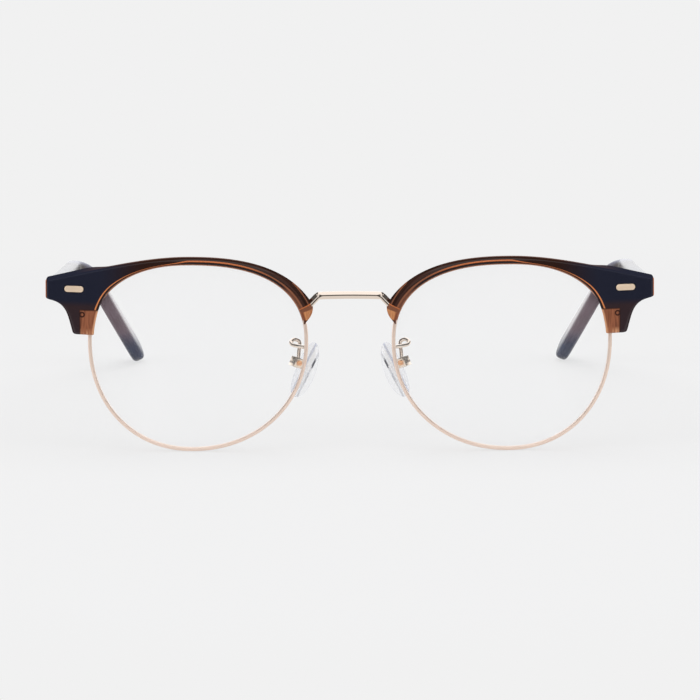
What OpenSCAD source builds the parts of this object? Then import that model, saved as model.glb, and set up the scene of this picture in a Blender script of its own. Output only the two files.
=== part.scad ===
// Browline glasses, standing open on their rims and temple tips.
// X runs along the front, +X is the wearer's left; the front looks towards -Y,
// the temples run back along +Y, and +Z is up. All sizes are in millimetres.

/* [Lens shape] */
// Width of one lens, to the middle of its rim
lens_w = 49.7; // [46:0.1:53]
// Height of one lens, to the middle of its rim
lens_h = 43.1; // [40:0.1:46]
// Distance from the lens's nose edge to its highest and lowest points
apex_in = 26.5; // [23:0.1:28]
// Height of the lens's widest place above its lowest point
wide_up = 25; // [23:0.1:27]
// Squareness of the upper quarter at the nose, where 2 is an ellipse
square_top_in = 2.4; // [2:0.01:2.8]
// Squareness of the upper quarter at the temple
square_top_out = 2.26; // [2:0.01:2.8]
// Squareness of the lower quarter at the nose
square_low_in = 2.07; // [2:0.01:2.6]
// Squareness of the lower quarter at the temple
square_low_out = 2.13; // [2:0.01:2.6]
// Gap between the middles of the two rims at the nose
nose_gap = 19.8; // [18:0.1:23]
// Radius of the ball that the front is curved to
curve_r = 150; // [120:1:300]
// Distance of that ball's centre from the mirror plane
curve_x = 28; // [20:0.5:34]
// Thickness of a lens
lens_t = 1.6; // [1.4:0.1:1.7]

/* [Rim] */
// Width of the rim wire as seen from the front
rim_w = 0.75; // [0.7:0.05:1]
// Depth of the rim wire from front to back
rim_d = 1.8; // [1.7:0.1:2.2]
// Width of the groove that holds the lens's edge
groove_w = 0.8; // [0.6:0.05:1]
// How far the groove goes past the inside of the rim
groove_deep = 0.4; // [0.3:0.05:0.45]
// Height of the saw cut through the rim above the lens's widest place
lock_rise = 4.1; // [3.9:0.05:4.2]
// Width of the closing block beside the rim
lock_w = 1.9; // [1.7:0.1:2.1]
// Depth of the closing block from front to back
lock_d = 2.1; // [1.9:0.1:2.4]
// Height of the closing block's lower half
lock_low_h = 1.8; // [1.4:0.1:2.2]
// Height of the closing block's upper half
lock_top_h = 2.6; // [2.4:0.1:2.7]
// Saw gap between the two halves
lock_gap = 0.2; // [0.1:0.05:0.4]
// Diameter of the screw that closes the rim
rim_screw_d = 1; // [0.8:0.05:1.1]

/* [Brow] */
// How far the brow reaches in front of the middle of the lens
brow_front = 1.7; // [1.4:0.1:2.2]
// How far the brow reaches behind the middle of the lens
brow_back = 2.2; // [1.8:0.1:2.8]
// Height of the brow above the rim's middle line at the top of the lens
brow_peak = 1.16; // [1.1:0.02:2]
// Width of the brow outside the rim's middle line at the nose
brow_nose = 2.85; // [2.6:0.05:3.4]
// Direction from the lens's centre at which the nose end rounds off
nose_turn = 164.5; // [163:0.5:166]
// How far the rim shows inside the brow's edge
rim_show = 0.25; // [0:0.05:0.3]
// How far the brow's outer end reaches past the lens
ear_reach = 10.15; // [9.4:0.05:11.4]
// Depth of the outer end's top corner below the top of the lens
ear_drop = 4.4; // [4:0.1:5.3]
// Height of the outer end
ear_h = 4.1; // [3.7:0.1:4.5]
// Rounding of the outer end's corners
ear_round = 0.7; // [0.3:0.1:1]
// How far back the brow's outer end reaches
ear_back = 12; // [11:0.1:13.5]
// How far the leg's bottom end is below the saw cut through the rim
leg_drop = 2.4; // [2.1:0.1:3.4]
// Width of the leg's bottom end
leg_w = 4.6; // [4.2:0.1:5.5]
// How far the leg reaches inside the rim
leg_in = 0.6; // [0.2:0.1:0.8]
// How far the milled pocket reaches past the lens
pocket_out = 2.4; // [2.3:0.02:2.6]
// Room in the milled pocket above the closing block
pocket_room = 0.3; // [0.1:0.1:0.8]
// Front wall left by the milled pocket
pocket_wall = 1.3; // [0.9:0.1:1.5]
// Diameter of the screw that holds the brow to the rim
brow_screw_d = 0.8; // [0.6:0.05:0.9]

/* [Rivet plate] */
// Length of the plate on the brow's front
plate_w = 4.4; // [3.8:0.1:5]
// Height of the plate
plate_h = 1.4; // [1.2:0.1:1.8]
// Thickness of the plate
plate_t = 0.4; // [0.3:0.05:0.6]
// Distance of the plate's middle from the brow's outer end
plate_in = 6.7; // [6.45:0.05:7.1]
// Depth of the plate's middle below the outer end's top corner
plate_drop = 1.7; // [1.5:0.1:2.1]
// Distance between the plate's two pins
pin_pitch = 2.3; // [2:0.1:2.6]
// Diameter of a pin
pin_d = 0.9; // [0.7:0.05:1]

/* [Hinge] */
// Distance of the hinge pin from the brow's outer end
hinge_in = 5.75; // [5.65:0.05:5.9]
// Height of the middle of the hinge above the middle of the temple
hinge_rise = 0.4; // [0.2:0.1:0.6]
// Outer diameter of the knuckles
knuckle_d = 2.5; // [2.2:0.05:2.6]
// Height of one knuckle
knuckle_h = 1.15; // [0.9:0.05:1.2]
// Gap between two knuckles
knuckle_gap = 0.06; // [0.04:0.01:0.1]
// Diameter of the hinge screw
hinge_screw_d = 1.1; // [0.9:0.05:1.3]
// Thickness of the hinge's plates
leaf_t = 0.8; // [0.6:0.05:0.9]
// Length of the leaf on the temple
leaf_len = 8.8; // [7:0.1:10]

/* [Temple] */
// Thickness of the temple at the hinge
temple_t = 3.9; // [3.6:0.1:4]
// Thickness of the temple behind its bend
tail_t = 3.5; // [3.2:0.1:3.9]
// Height of the temple at the hinge
temple_h = 5; // [4.6:0.1:5.2]
// Height of the temple at its bend
temple_waist = 4.1; // [3.8:0.1:5]
// Height of the paddle near the tip
paddle_h = 7.6; // [6.5:0.1:8.5]
// Distance behind the mirror origin at which the temple starts to bend down
bend_y = 94; // [90:0.5:98]
// Radius of the bend behind the ear, on the temple's middle line
bend_r = 20; // [15:0.5:26]
// Angle of the tail below the level
tail_drop = 39; // [35:0.5:42]
// Length of the tail behind the bend
tail_len = 40.2; // [38:0.1:42]
// Lean of the tail towards the head
tail_lean = 17; // [12:0.5:20]
// Lean of the paddle's flat sides
tail_twist = 24; // [14:0.5:28]
// Turn of the tail towards the head
tail_turn = 4; // [0:0.5:6]
// How far a temple spreads between its hinge and its bend
temple_out = 1.2; // [0:0.1:1.6]
// How far a temple closes in along its bend
bend_in = 3.2; // [1:0.1:3.6]
// Depth of the temple's middle at its front end below the brow's top corner
temple_drop = 2.7; // [2.5:0.1:2.8]
// Angle of the temple's line where the bend begins
bend_start = 5.5; // [4:0.5:7]
// Diameter of the metal core in the temple
core_d = 1.3; // [1:0.1:1.6]
// Bare length of the tail behind the end of the metal core
core_short = 22; // [16:1:30]
// Gap between the brow and the closed front end of the temple
butt_gap = 0.1; // [0.05:0.01:0.2]

/* [Bridge] */
// Height of the bridge bar
bridge_h = 1.75; // [1.5:0.05:2.1]
// Depth of the bridge bar from front to back
bridge_d = 1.5; // [1.3:0.05:1.7]
// Depth of the bridge's middle below the top of the lens
bridge_drop = 7.6; // [7.2:0.1:7.8]
// Distance from the end of the bridge's straight part to the rim
bridge_in = 2.6; // [2.3:0.1:3.3]
// Rise of the bridge's middle over its ends
bridge_rise = 0.12; // [0:0.02:0.4]
// Width of the saddle that is soldered to the rim
saddle_w = 0.9; // [0.7:0.05:1.1]
// Length of the saddle along the rim, in degrees around the lens's centre
saddle_arc = 11; // [8:0.5:13]

/* [Nose pads] */
// Length of a nose pad
pad_len = 13.4; // [12:0.1:14.5]
// Width of a nose pad
pad_w = 7.8; // [6.5:0.1:8]
// Thickness of a nose pad
pad_t = 2.2; // [1.8:0.1:2.6]
// Lean of the pads' long axis towards the nose at the top
pad_splay = 24; // [19:0.5:26]
// Turn of the pads' faces towards the back
pad_turn = 32; // [26:0.5:34]
// Distance of the pad's screw from the nose edge of the rim, outwards
pad_out = 2.4; // [2.1:0.1:2.7]
// Distance of the pad's screw behind the middle of the front's ball
pad_y = 7.4; // [7:0.1:8]
// Depth of the pad's screw below the lens's widest place
pad_low = 5.8; // [5.4:0.1:6.2]
// How far the pad's middle hangs below its screw
pad_hang = 0.8; // [0.4:0.1:1.4]
// Diameter of the pad's screw
pad_screw_d = 0.8; // [0.6:0.05:0.9]
// Thickness of the tab on the pad
tab_t = 0.9; // [0.7:0.05:1]
// Length of the tab from the pad to its end
tab_len = 2; // [1.8:0.05:2.1]
// Height of the tab
tab_h = 1.4; // [1.3:0.05:1.4]
// Size of the pad box along the screw
box_a = 2.4; // [2.3:0.05:2.7]
// Size of the pad box towards the nose
box_n = 2.2; // [2.15:0.05:2.4]
// Height of the pad box
box_h = 2.2; // [2.1:0.05:2.5]
// Diameter of the pad arm's wire
arm_d = 1; // [0.8:0.05:1.2]
// How far the arm's loop reaches outwards behind the lens
arm_out = 3.7; // [3.4:0.1:4]
// How far the arm's loop reaches back
arm_back = 9.2; // [9:0.1:9.6]
// Height of the arm's loop above the pad's screw
arm_rise = 5.1; // [4.8:0.1:5.4]

/* [Fits] */
// Clearance around a screw, a pin or a turning part
fit = 0.04; // [0.02:0.01:0.06]
// Clearance between pieces that are set into each other
seat = 0.05; // [0.03:0.01:0.08]

/* [Hidden] */

acetate_color = [0.2, 0.13, 0.11];
gold_color = [0.88, 0.74, 0.64];
screw_color = [0.8, 0.66, 0.55];
lens_color = [0.85, 0.92, 0.95, 0.4];
pad_color = [0.85, 0.9, 0.95, 0.6];

// Smoothness of the lens's outline, of the front's ball and of the small round parts
lens_sides = 120;
ball_fn = 240;
round_fn = 40;
// Longer than anything that is cut right through
far = 60;
// Length by which a cut starts outside what it cuts
over = 1;
// Place of the lens's highest and widest points, and height of the ball's centre
apex_x = nose_gap / 2 + apex_in;
wide_z = wide_up + rim_w / 2;
curve_z = (lens_h + rim_w) / 2;
// Highest and outermost places of the lens, to the middle of its rim
lens_top = lens_h + rim_w / 2;
lens_out = apex_x + lens_w - apex_in;
// Places that follow the lens
ear_x = lens_out + ear_reach;
ear_top = lens_top - ear_drop;
ear_low = ear_top - ear_h;
lock_split = wide_z + lock_rise;
leg_low = lock_split - leg_drop;
pocket_x = lens_out + pocket_out;
pocket_top = lock_split + lock_gap / 2 + lock_top_h + pocket_room;
leg_top = pocket_top + seat;
plate_x = ear_x - plate_in;
plate_z = ear_top - plate_drop;
temple_z = ear_top - temple_drop;
hinge_x = ear_x - hinge_in;
hinge_z = temple_z + hinge_rise;
bridge_z = lens_top - bridge_drop;
bridge_half = nose_gap / 2 - bridge_in;
pad_x = nose_gap / 2 + pad_out;
pad_z = wide_z - pad_low;

// Distance from the centre of the lens to its outline in the direction a
function lens_radius(a) =
    let (across = (cos(a) > 0 ? lens_w - apex_in : apex_in),
         up = (sin(a) > 0 ? lens_h - wide_up : wide_up),
         n = lens_squareness(a))
    pow(pow(abs(cos(a)) / across, n) + pow(abs(sin(a)) / up, n), -1 / n);
function lens_squareness(a) =
    sin(a) > 0 ? (cos(a) > 0 ? square_top_out : square_top_in)
               : (cos(a) > 0 ? square_low_out : square_low_in);
// Direction straight out of the lens's outline
function lens_normal(a) =
    let (across = (cos(a) > 0 ? lens_w - apex_in : apex_in),
         up = (sin(a) > 0 ? lens_h - wide_up : wide_up),
         n = lens_squareness(a), r = lens_radius(a),
         v = [sign(cos(a)) * pow(abs(r * cos(a)) / across, n - 1) / across,
              sign(sin(a)) * pow(abs(r * sin(a)) / up, n - 1) / up])
    v / norm(v);
// Point at the distance grow outside the rim's middle line, seen from the front
function lens_point(a, grow) =
    [apex_x, wide_z] + lens_radius(a) * [cos(a), sin(a)] + grow * lens_normal(a);
// Depth of the front's ball, pushed forward by the distance front, at x and z
function ball_y(x, z, front) =
    curve_r - sqrt(pow(curve_r + front, 2) - pow(x - curve_x, 2) - pow(z - curve_z, 2));
function bezier(a, b, c, d, steps) =
    [for (i = [0:steps]) let (t = i / steps, s = 1 - t)
        s * s * s * a + 3 * s * s * t * b + 3 * s * t * t * c + t * t * t * d];
function unit(v) = v / norm(v);

module on_side(side) mirror([side == "left" ? 0 : 1, 0, 0]) children();
module seen_from_front() rotate([90, 0, 0]) linear_extrude(height = far, center = true) children();
module lens_area(grow)
    polygon([for (i = [0:lens_sides - 1]) lens_point(i * 360 / lens_sides, grow)]);
module ball(front) translate([curve_x, curve_r, curve_z]) sphere(r = curve_r + front, $fn = ball_fn);
module layer(back, front) {
    difference() {
        ball(front);
        ball(back);
    }
}
// Round pins along Y and along Z
module pin_y(x, z, y0, y1, d)
    translate([x, y0, z]) rotate([-90, 0, 0]) cylinder(h = y1 - y0, d = d, $fn = round_fn);
module pin_z(x, y, z0, z1, d)
    translate([x, y, z0]) cylinder(h = z1 - z0, d = d, $fn = round_fn);
module box_between(low, high) translate(low) cube(high - low);
// Slot across the head of a screw with the head's middle at the place at
module screw_slot(at, d) translate(at) cube([d + over, d / 5, d / 4], center = true);

// A closed skin over rings of points, each ring with the same number of points
module skin(rings) {
    count = len(rings);
    sides = len(rings[0]);
    polyhedron(
        points = [for (ring = rings) each ring],
        faces = concat(
            [[for (j = [sides - 1:-1:0]) j]],
            [[for (j = [0:sides - 1]) (count - 1) * sides + j]],
            [for (i = [0:count - 2], j = [0:sides - 1]) let (k = (j + 1) % sides)
                [i * sides + j, i * sides + k, (i + 1) * sides + j]],
            [for (i = [0:count - 2], j = [0:sides - 1]) let (k = (j + 1) % sides)
                [i * sides + k, (i + 1) * sides + k, (i + 1) * sides + j]]));
}
// Smooth line through the points, with the same number of steps in each span
function through(points, steps) =
    [for (i = [0:len(points) - 2], k = [0:steps - (i == len(points) - 2 ? 0 : 1)])
        let (t = k / steps, a = points[max(i - 1, 0)], b = points[i], c = points[i + 1],
             d = points[min(i + 2, len(points) - 1)])
        0.5 * (2 * b + (c - a) * t + (2 * a - 5 * b + 4 * c - d) * t * t
               + (3 * b - a - 3 * c + d) * t * t * t)];
// Rings of an oval tube along a line; up is a direction that the line never takes
function tube_rings(line, wide, high, sides, up) =
    [for (i = [0:len(line) - 1])
        let (t = unit(line[min(i + 1, len(line) - 1)] - line[max(i - 1, 0)]),
             n = unit(cross(up, t)), b = cross(t, n))
        [for (j = [0:sides - 1]) line[i] + wide / 2 * cos(j * 360 / sides) * n
                                 - high / 2 * sin(j * 360 / sides) * b]];

// Lens, rim and the block that closes the rim

module lens_glass(side) on_side(side) color(lens_color) {
    intersection() {
        seen_from_front() lens_area(-rim_w / 2 - seat);
        layer(-lens_t / 2, lens_t / 2);
    }
    intersection() {
        seen_from_front() lens_area(groove_deep - rim_w / 2 - seat);
        layer(seat - groove_w / 2, groove_w / 2 - seat);
    }
}

module rim(side) on_side(side) color(gold_color) difference() {
    intersection() {
        seen_from_front() difference() {
            lens_area(rim_w / 2);
            lens_area(-rim_w / 2);
        }
        layer(-rim_d / 2, rim_d / 2);
    }
    intersection() {
        seen_from_front() lens_area(groove_deep - rim_w / 2);
        layer(-groove_w / 2, groove_w / 2);
    }
    box_between([apex_x + apex_in / 2, -far / 2, lock_split - lock_gap / 2],
                [ear_x, far / 2, lock_split + lock_gap / 2]);
}

// Both halves of the block stand in the pocket behind the brow's leg
lock_z0 = lock_split - lock_gap / 2 - lock_low_h;
lock_z1 = lock_split + lock_gap / 2 + lock_top_h;
lock_x1 = pocket_x - 3 * seat;
lock_x0 = lock_x1 - lock_w - rim_w;
lock_y0 = ball_y(lock_x1, lock_z1, brow_front - pocket_wall) + seat;
lock_y1 = lock_y0 + lock_d;

module rim_lock(side) on_side(side) color(gold_color) difference() {
    box_between([lock_x0, lock_y0, lock_z0], [lock_x1, lock_y1, lock_z1]);
    box_between([lock_x0 - over, lock_y0 - over, lock_split - lock_gap / 2],
                [lock_x1 + over, lock_y1 + over, lock_split + lock_gap / 2]);
    seen_from_front() lens_area(rim_w / 2 + seat / 2);
    pin_z(rim_screw_x, rim_screw_y, lock_z0 - over, rim_screw_top + fit, rim_screw_d + 2 * fit);
    pin_z(rim_screw_x, rim_screw_y, lock_z0 - over, lock_z0 + rim_screw_head_h, rim_screw_head_d + 2 * fit);
    pin_y(brow_screw_x, brow_screw_z, lock_y0 - over, lock_y1 + over, brow_screw_d + 2 * fit);
}

// The screw comes from below, with its head sunk into the lower half
head_ratio = 1.5;
rim_screw_bite = 1.1;
rim_screw_x = lock_x1 - lock_w / 2;
rim_screw_y = (lock_y0 + lock_y1) / 2;
rim_screw_top = lock_split + lock_gap / 2 + rim_screw_bite;
rim_screw_head_d = head_ratio * rim_screw_d;
rim_screw_head_h = rim_screw_d / 2;

module rim_screw(side) on_side(side) color(screw_color) difference() {
    union() {
        pin_z(rim_screw_x, rim_screw_y, lock_z0 + rim_screw_head_h / 2, rim_screw_top, rim_screw_d);
        pin_z(rim_screw_x, rim_screw_y, lock_z0, lock_z0 + rim_screw_head_h - fit, rim_screw_head_d);
    }
    screw_slot([rim_screw_x, rim_screw_y, lock_z0], rim_screw_head_d);
}

// This screw holds the upper half to the front wall of the brow's leg
brow_screw_edge = 0.2;
brow_screw_drop = 0.45;
brow_screw_bite = 0.7;
brow_screw_x = lock_x1 - brow_screw_edge - brow_screw_d / 2;
brow_screw_z = lock_z1 - brow_screw_drop - brow_screw_d / 2;
brow_screw_y0 = lock_y0 - seat - brow_screw_bite;
brow_screw_head_d = head_ratio * brow_screw_d;
brow_screw_head_h = brow_screw_d / 2;

module brow_screw(side) on_side(side) color(screw_color) difference() {
    union() {
        pin_y(brow_screw_x, brow_screw_z, brow_screw_y0, lock_y1 + brow_screw_head_h / 2, brow_screw_d);
        pin_y(brow_screw_x, brow_screw_z, lock_y1, lock_y1 + brow_screw_head_h, brow_screw_head_d);
    }
    screw_slot([brow_screw_x, lock_y1 + brow_screw_head_h, brow_screw_z], brow_screw_head_d);
}

// Brow. Its outline runs from the nose end over the lens to the outer end, down the leg,
// and back inside the lens. Each handle is a step from the corner that it belongs to.

brow_arc_steps = 24;
// How late the brow widens on its way to the nose, where 1 is evenly
nose_flare = 3.2;
curve_steps = 12;
corner_steps = 4;
peak_handle = [10, 0];
ear_handle = [14, 3];
ear_slope = 0.15;
leg_in_handle = [4.3, 0.8];
leg_out_handle = [1.1, 3.7];
nose_handle = [0.1, 1.9];
tip_handle = [0.9, 0.9];
// Places that are set from the pocket's wall and from the nose end's direction
leg_wall = 1.55;
tip_turn = 5.5;
tip_in = 0.3;
function brow_grow(a) = brow_peak + (brow_nose - brow_peak) * pow((a - 90) / (nose_turn - 90), nose_flare);
nose_last = lens_point(nose_turn, brow_nose);
nose_tip = lens_point(nose_turn + tip_turn, 0) - [tip_in, 0];
peak_point = lens_point(90, brow_peak);
ear_top_in = [ear_x - ear_round, ear_top + ear_slope];
ear_low_in = [ear_x - ear_round, ear_low - ear_slope];
leg_out = [pocket_x + leg_wall, leg_low];
function mirrored(v) = [-v[0], v[1]];

module brow_outline() polygon(concat(
    [for (i = [0:brow_arc_steps]) let (a = nose_turn + (90 - nose_turn) * i / brow_arc_steps)
        lens_point(a, brow_grow(a))],
    bezier(peak_point, peak_point + peak_handle, ear_top_in + mirrored(ear_handle), ear_top_in, curve_steps),
    bezier(ear_top_in, [ear_x, ear_top], [ear_x, ear_top], [ear_x, ear_top - ear_round], corner_steps),
    bezier([ear_x, ear_low + ear_round], [ear_x, ear_low], [ear_x, ear_low], ear_low_in, corner_steps),
    bezier(ear_low_in, ear_low_in - leg_in_handle, leg_out + leg_out_handle, leg_out, curve_steps),
    [leg_out - [leg_w, 0], leg_out - [leg_w + leg_wall, -leg_wall], [apex_x, wide_z], nose_tip],
    bezier(nose_tip, nose_tip + mirrored(tip_handle), nose_last - nose_handle, nose_last, curve_steps)));
// The lens's opening in the brow, where the leg reaches a little further in than the rim
module brow_opening() {
    lens_area(-rim_w / 2 - leg_in);
    difference() {
        lens_area(rim_show - rim_w / 2);
        translate([apex_x, leg_low - over]) square([lens_w, leg_top - leg_low + over]);
    }
}

// The outer end is a thick block that ends in the flat face that the hinge is set into
block_in = 15;
block_flat = 9;
block_low = ear_low - 1.4;
block_h = 12;
block_y_in = ball_y(ear_x - block_in, ear_top, 0);
block_y_out = ball_y(ear_x, ear_top, 0);

module brow(side) on_side(side) color(acetate_color) difference() {
    intersection() {
        seen_from_front() brow_outline();
        union() {
            layer(-brow_back, brow_front);
            translate([0, 0, block_low]) linear_extrude(height = block_h)
                polygon([[ear_x - block_in, block_y_in], [ear_x + over, block_y_out],
                         [ear_x + over, ear_back], [ear_x - block_flat, ear_back],
                         [ear_x - block_in, block_y_in + brow_back]]);
        }
    }
    seen_from_front() brow_opening();
    intersection() {
        seen_from_front() lens_area(rim_w / 2 + seat);
        layer(-rim_d / 2 - seat, rim_d / 2 + seat);
    }
    // pocket behind the leg, for the closing block
    intersection() {
        box_between([apex_x, -over, leg_low - over], [pocket_x, far / 2, pocket_top]);
        ball(brow_front - pocket_wall);
    }
    pin_y(brow_screw_x, brow_screw_z, brow_screw_y0, lock_y1, brow_screw_d + 2 * fit);
    // recess and pin holes of the rivet plate
    intersection() {
        seen_from_front() plate_outline(2 * seat);
        difference() {
            ball(brow_front + over);
            ball(brow_front - plate_t - seat);
        }
    }
    for (x = pin_places) pin_y(x, plate_z, 0, ear_back + over, pin_d + 2 * fit);
    // seat of the hinge plate
    box_between([hinge_plate_x0 - seat, ear_back - leaf_t - seat, hinge_low - seat],
                [hinge_plate_x1 + seat, ear_back + over, hinge_low + hinge_stack + seat]);
    // slot for the bridge's saddle and foot
    bridge_saddle(seat);
    bridge_bar(2 * seat);
}

// Rivet plate on the front, with the two pins that go through to the hinge

pin_places = [plate_x - pin_pitch / 2, plate_x + pin_pitch / 2];

module plate_outline(grow) hull()
    for (i = [-1, 1]) translate([plate_x + i * (plate_w - plate_h) / 2, plate_z])
        circle(d = plate_h + 2 * grow, $fn = round_fn);

module rivet_plate(side) on_side(side) color(gold_color) {
    intersection() {
        seen_from_front() plate_outline(0);
        layer(brow_front - plate_t, brow_front);
    }
    for (x = pin_places)
        pin_y(x, plate_z, ball_y(x, plate_z, brow_front - plate_t / 2), ear_back, pin_d);
}

// Hinge: a plate with two knuckles on the brow and a leaf with one knuckle on the temple

hinge_stack = 3 * knuckle_h + 2 * knuckle_gap;
hinge_low = hinge_z - hinge_stack / 2;
hinge_step = knuckle_h + knuckle_gap;
hinge_y = ear_back + knuckle_d / 2 + 2 * fit;
hinge_plate_x1 = hinge_x + 0.44 * knuckle_d;
hinge_plate_x0 = hinge_plate_x1 - plate_w;
hinge_screw_head_d = 0.72 * knuckle_d;
hinge_screw_head_h = 0.4;
web_w = 0.8 * knuckle_d;
// The leaf is let into the temple's inner face, and its shoe meets the metal core
leaf_gap = 0.9;
leaf_trim = 0.2;
shoe_len = 3;
temple_x = ear_x - temple_t / 2 - seat;
leaf_x0 = temple_x - temple_t / 2 - leaf_t / 2;
leaf_x1 = leaf_x0 + leaf_t;
leaf_y0 = hinge_y + leaf_gap;
leaf_y1 = leaf_y0 + leaf_len;

module hinge_knuckle(index)
    translate([0, 0, index * hinge_step])
        pin_z(hinge_x, hinge_y, hinge_low, hinge_low + knuckle_h, knuckle_d);
module hinge_bore()
    pin_z(hinge_x, hinge_y, hinge_low - over, hinge_low + hinge_stack + over, hinge_screw_d + 2 * fit);

module front_hinge(side) on_side(side) color(gold_color) difference() {
    union() {
        box_between([hinge_plate_x0, ear_back - leaf_t, hinge_low],
                    [hinge_plate_x1, ear_back, hinge_low + hinge_stack]);
        for (i = [0, 2]) {
            hinge_knuckle(i);
            box_between([hinge_x - web_w / 2, ear_back - leaf_t / 2, hinge_low + i * hinge_step],
                        [hinge_x + web_w / 2, hinge_y, hinge_low + i * hinge_step + knuckle_h]);
        }
    }
    hinge_bore();
    for (x = pin_places) pin_y(x, plate_z, 0, ear_back + seat, pin_d + 2 * fit);
}

module hinge_screw(side) on_side(side) color(screw_color) difference() {
    union() {
        pin_z(hinge_x, hinge_y, hinge_low, hinge_low + hinge_stack + hinge_screw_head_h / 2, hinge_screw_d);
        pin_z(hinge_x, hinge_y, hinge_low + hinge_stack, hinge_low + hinge_stack + hinge_screw_head_h,
              hinge_screw_head_d);
    }
    screw_slot([hinge_x, hinge_y, hinge_low + hinge_stack + hinge_screw_head_h], hinge_screw_head_d);
}

module temple_leaf(grow) {
    box_between([leaf_x0 - grow, leaf_y0 - grow, hinge_low + leaf_trim - grow],
                [leaf_x1 + grow, leaf_y1 + grow, hinge_low + hinge_stack - leaf_trim + grow]);
    box_between([leaf_x0 + leaf_t / 2, leaf_y1 - shoe_len - grow, temple_z - core_d / 2 - grow],
                [temple_x + core_d / 2 + grow, leaf_y1 + grow, temple_z + core_d / 2 + grow]);
}
// Web from the temple's knuckle to the leaf
module temple_web(grow)
    box_between([hinge_x, hinge_y - grow, hinge_low + hinge_step - grow],
                [leaf_x1 + grow, leaf_y0 + leaf_t, hinge_low + hinge_step + knuckle_h + grow]);

module temple_hinge(side) on_side(side) color(gold_color) difference() {
    union() {
        temple_leaf(0);
        temple_web(0);
        hinge_knuckle(1);
    }
    hinge_bore();
}

// Temple: a straight part, a bend and a leaning tail, in rings along its middle line

temple_y = ear_back + butt_gap;
bend_x = temple_x + temple_out;
bend_turn = tail_drop - bend_start;
bend_steps = 8;
straight_steps = 8;
tail_steps = 6;
temple_sides = 16;
temple_square = 4;
// Length over which the tip rounds off, seen from the side and from above
tip_round = 6;
tip_thin = 3;
function up_way(lean) = [sin(lean), 0, cos(lean)];
function out_way(lean) = [cos(lean), 0, -sin(lean)];
function ease(k) = k * k * (3 - 2 * k);
function round_off(s, len) = sqrt(max(0.05, 1 - pow(max(0, s - tail_len + len) / len, 2)));
function tail_height(s) =
    round_off(s, tip_round)
    * (temple_waist + (paddle_h - temple_waist) * sin(90 * min(1, s / (tail_len - tip_round))));
function tail_thick(s) = tail_t * round_off(s, tip_thin);
// Places along the bend and the tail, as [back, up, angle below the level, way along the tail]
function bend_place(k) =
    let (a = bend_start + bend_turn * k)
    [bend_r * (sin(a) - sin(bend_start)), -bend_r * (cos(bend_start) - cos(a)), a, 0];
function tail_place(s) =
    let (e = bend_place(1)) [e[0] + s * cos(tail_drop), e[1] - s * sin(tail_drop), tail_drop, s];
// Each station is [middle, angle below the level, lean, height, thickness]
function station(place, k, height, thick, from_z) =
    [[bend_x - bend_in * k - place[3] * cos(tail_drop) * tan(tail_turn), bend_y + place[0], from_z]
     + place[1] * up_way(tail_lean), place[2], tail_twist * k, height, thick];
tail_ways = concat([for (k = [1:tail_steps]) k * (tail_len - tip_round) / tail_steps],
                   [for (a = [20:14:90]) tail_len - tip_round + tip_round * sin(a)]);
// The ways along the tail, of which a core ends at the length bare before the tip
function ways_to(bare) =
    bare == 0 ? tail_ways
              : [for (s = tail_ways) if (s < tail_len - bare - core_d) s, tail_len - bare];
function rear_stations(from_z, bare) = concat(
    [for (k = [1:bend_steps]) station(bend_place(k / bend_steps), ease(k / bend_steps),
                                      temple_waist, tail_t, from_z)],
    [for (s = ways_to(bare)) station(tail_place(s), 1, tail_height(s), tail_thick(s), from_z)]);
function ring(s, sides, square, wide, high) =
    [for (j = [0:sides - 1]) let (c = cos(j * 360 / sides), v = sin(j * 360 / sides))
        s[0] + wide / 2 * sign(c) * pow(abs(c), 2 / square) * out_way(s[2])
        + high / 2 * sign(v) * pow(abs(v), 2 / square)
          * (sin(s[1]) * [0, 1, 0] + cos(s[1]) * up_way(s[2]))];
// The tail's lowest point stands on the same floor as the rims
bend_z = -min([for (s = rear_stations(0, 0))
               min([for (p = ring(s, temple_sides, temple_square, s[4], s[3])) p[2]])]);
// The frame's origin is on the floor, in the middle between the lenses' front and the tips
tip_y = max([for (s = rear_stations(0, 0))
             max([for (p = ring(s, temple_sides, temple_square, s[4], s[3])) p[1]])]);
middle_y = (tip_y - lens_t / 2) / 2;
module placed() translate([0, -middle_y, 0]) children();
function straight_stations(y0) =
    [for (k = [0:straight_steps])
        let (y = y0 + (bend_y - y0) * k / straight_steps, f = (y - temple_y) / (bend_y - temple_y))
        [[temple_x + temple_out * f, y, temple_z + (bend_z - temple_z) * f],
         bend_start * pow(f, 6), 0, temple_h - (temple_h - temple_waist) * ease(f),
         temple_t - (temple_t - tail_t) * ease(f)]];

module temple(side) on_side(side) color(acetate_color) difference() {
    skin([for (s = concat(straight_stations(temple_y), rear_stations(bend_z, 0)))
          ring(s, temple_sides, temple_square, s[4], s[3])]);
    core_skin(leaf_y1, core_d + 2 * seat, core_short - seat);
    temple_leaf(seat);
    temple_web(seat);
}
module core_skin(y0, d, bare)
    skin([for (s = concat(straight_stations(y0), rear_stations(bend_z, bare)))
          ring(s, temple_sides / 2, 2, d, d)]);
module core_wire(side) on_side(side) color(gold_color) core_skin(leaf_y1 + seat, core_d, core_short);

// Bridge: a bar with two bent ends, each soldered to a saddle on the rim inside the brow

bridge_sides = 12;
bridge_bend = 0.9;
bridge_steps = 4;
bridge_y = ball_y(nose_gap / 2, bridge_z, 0);
bridge_foot = lens_point(nose_turn, rim_w / 2 + saddle_w / 2);
bridge_end = [bridge_foot[0], ball_y(bridge_foot[0], bridge_foot[1], 0), bridge_foot[1]];
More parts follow.
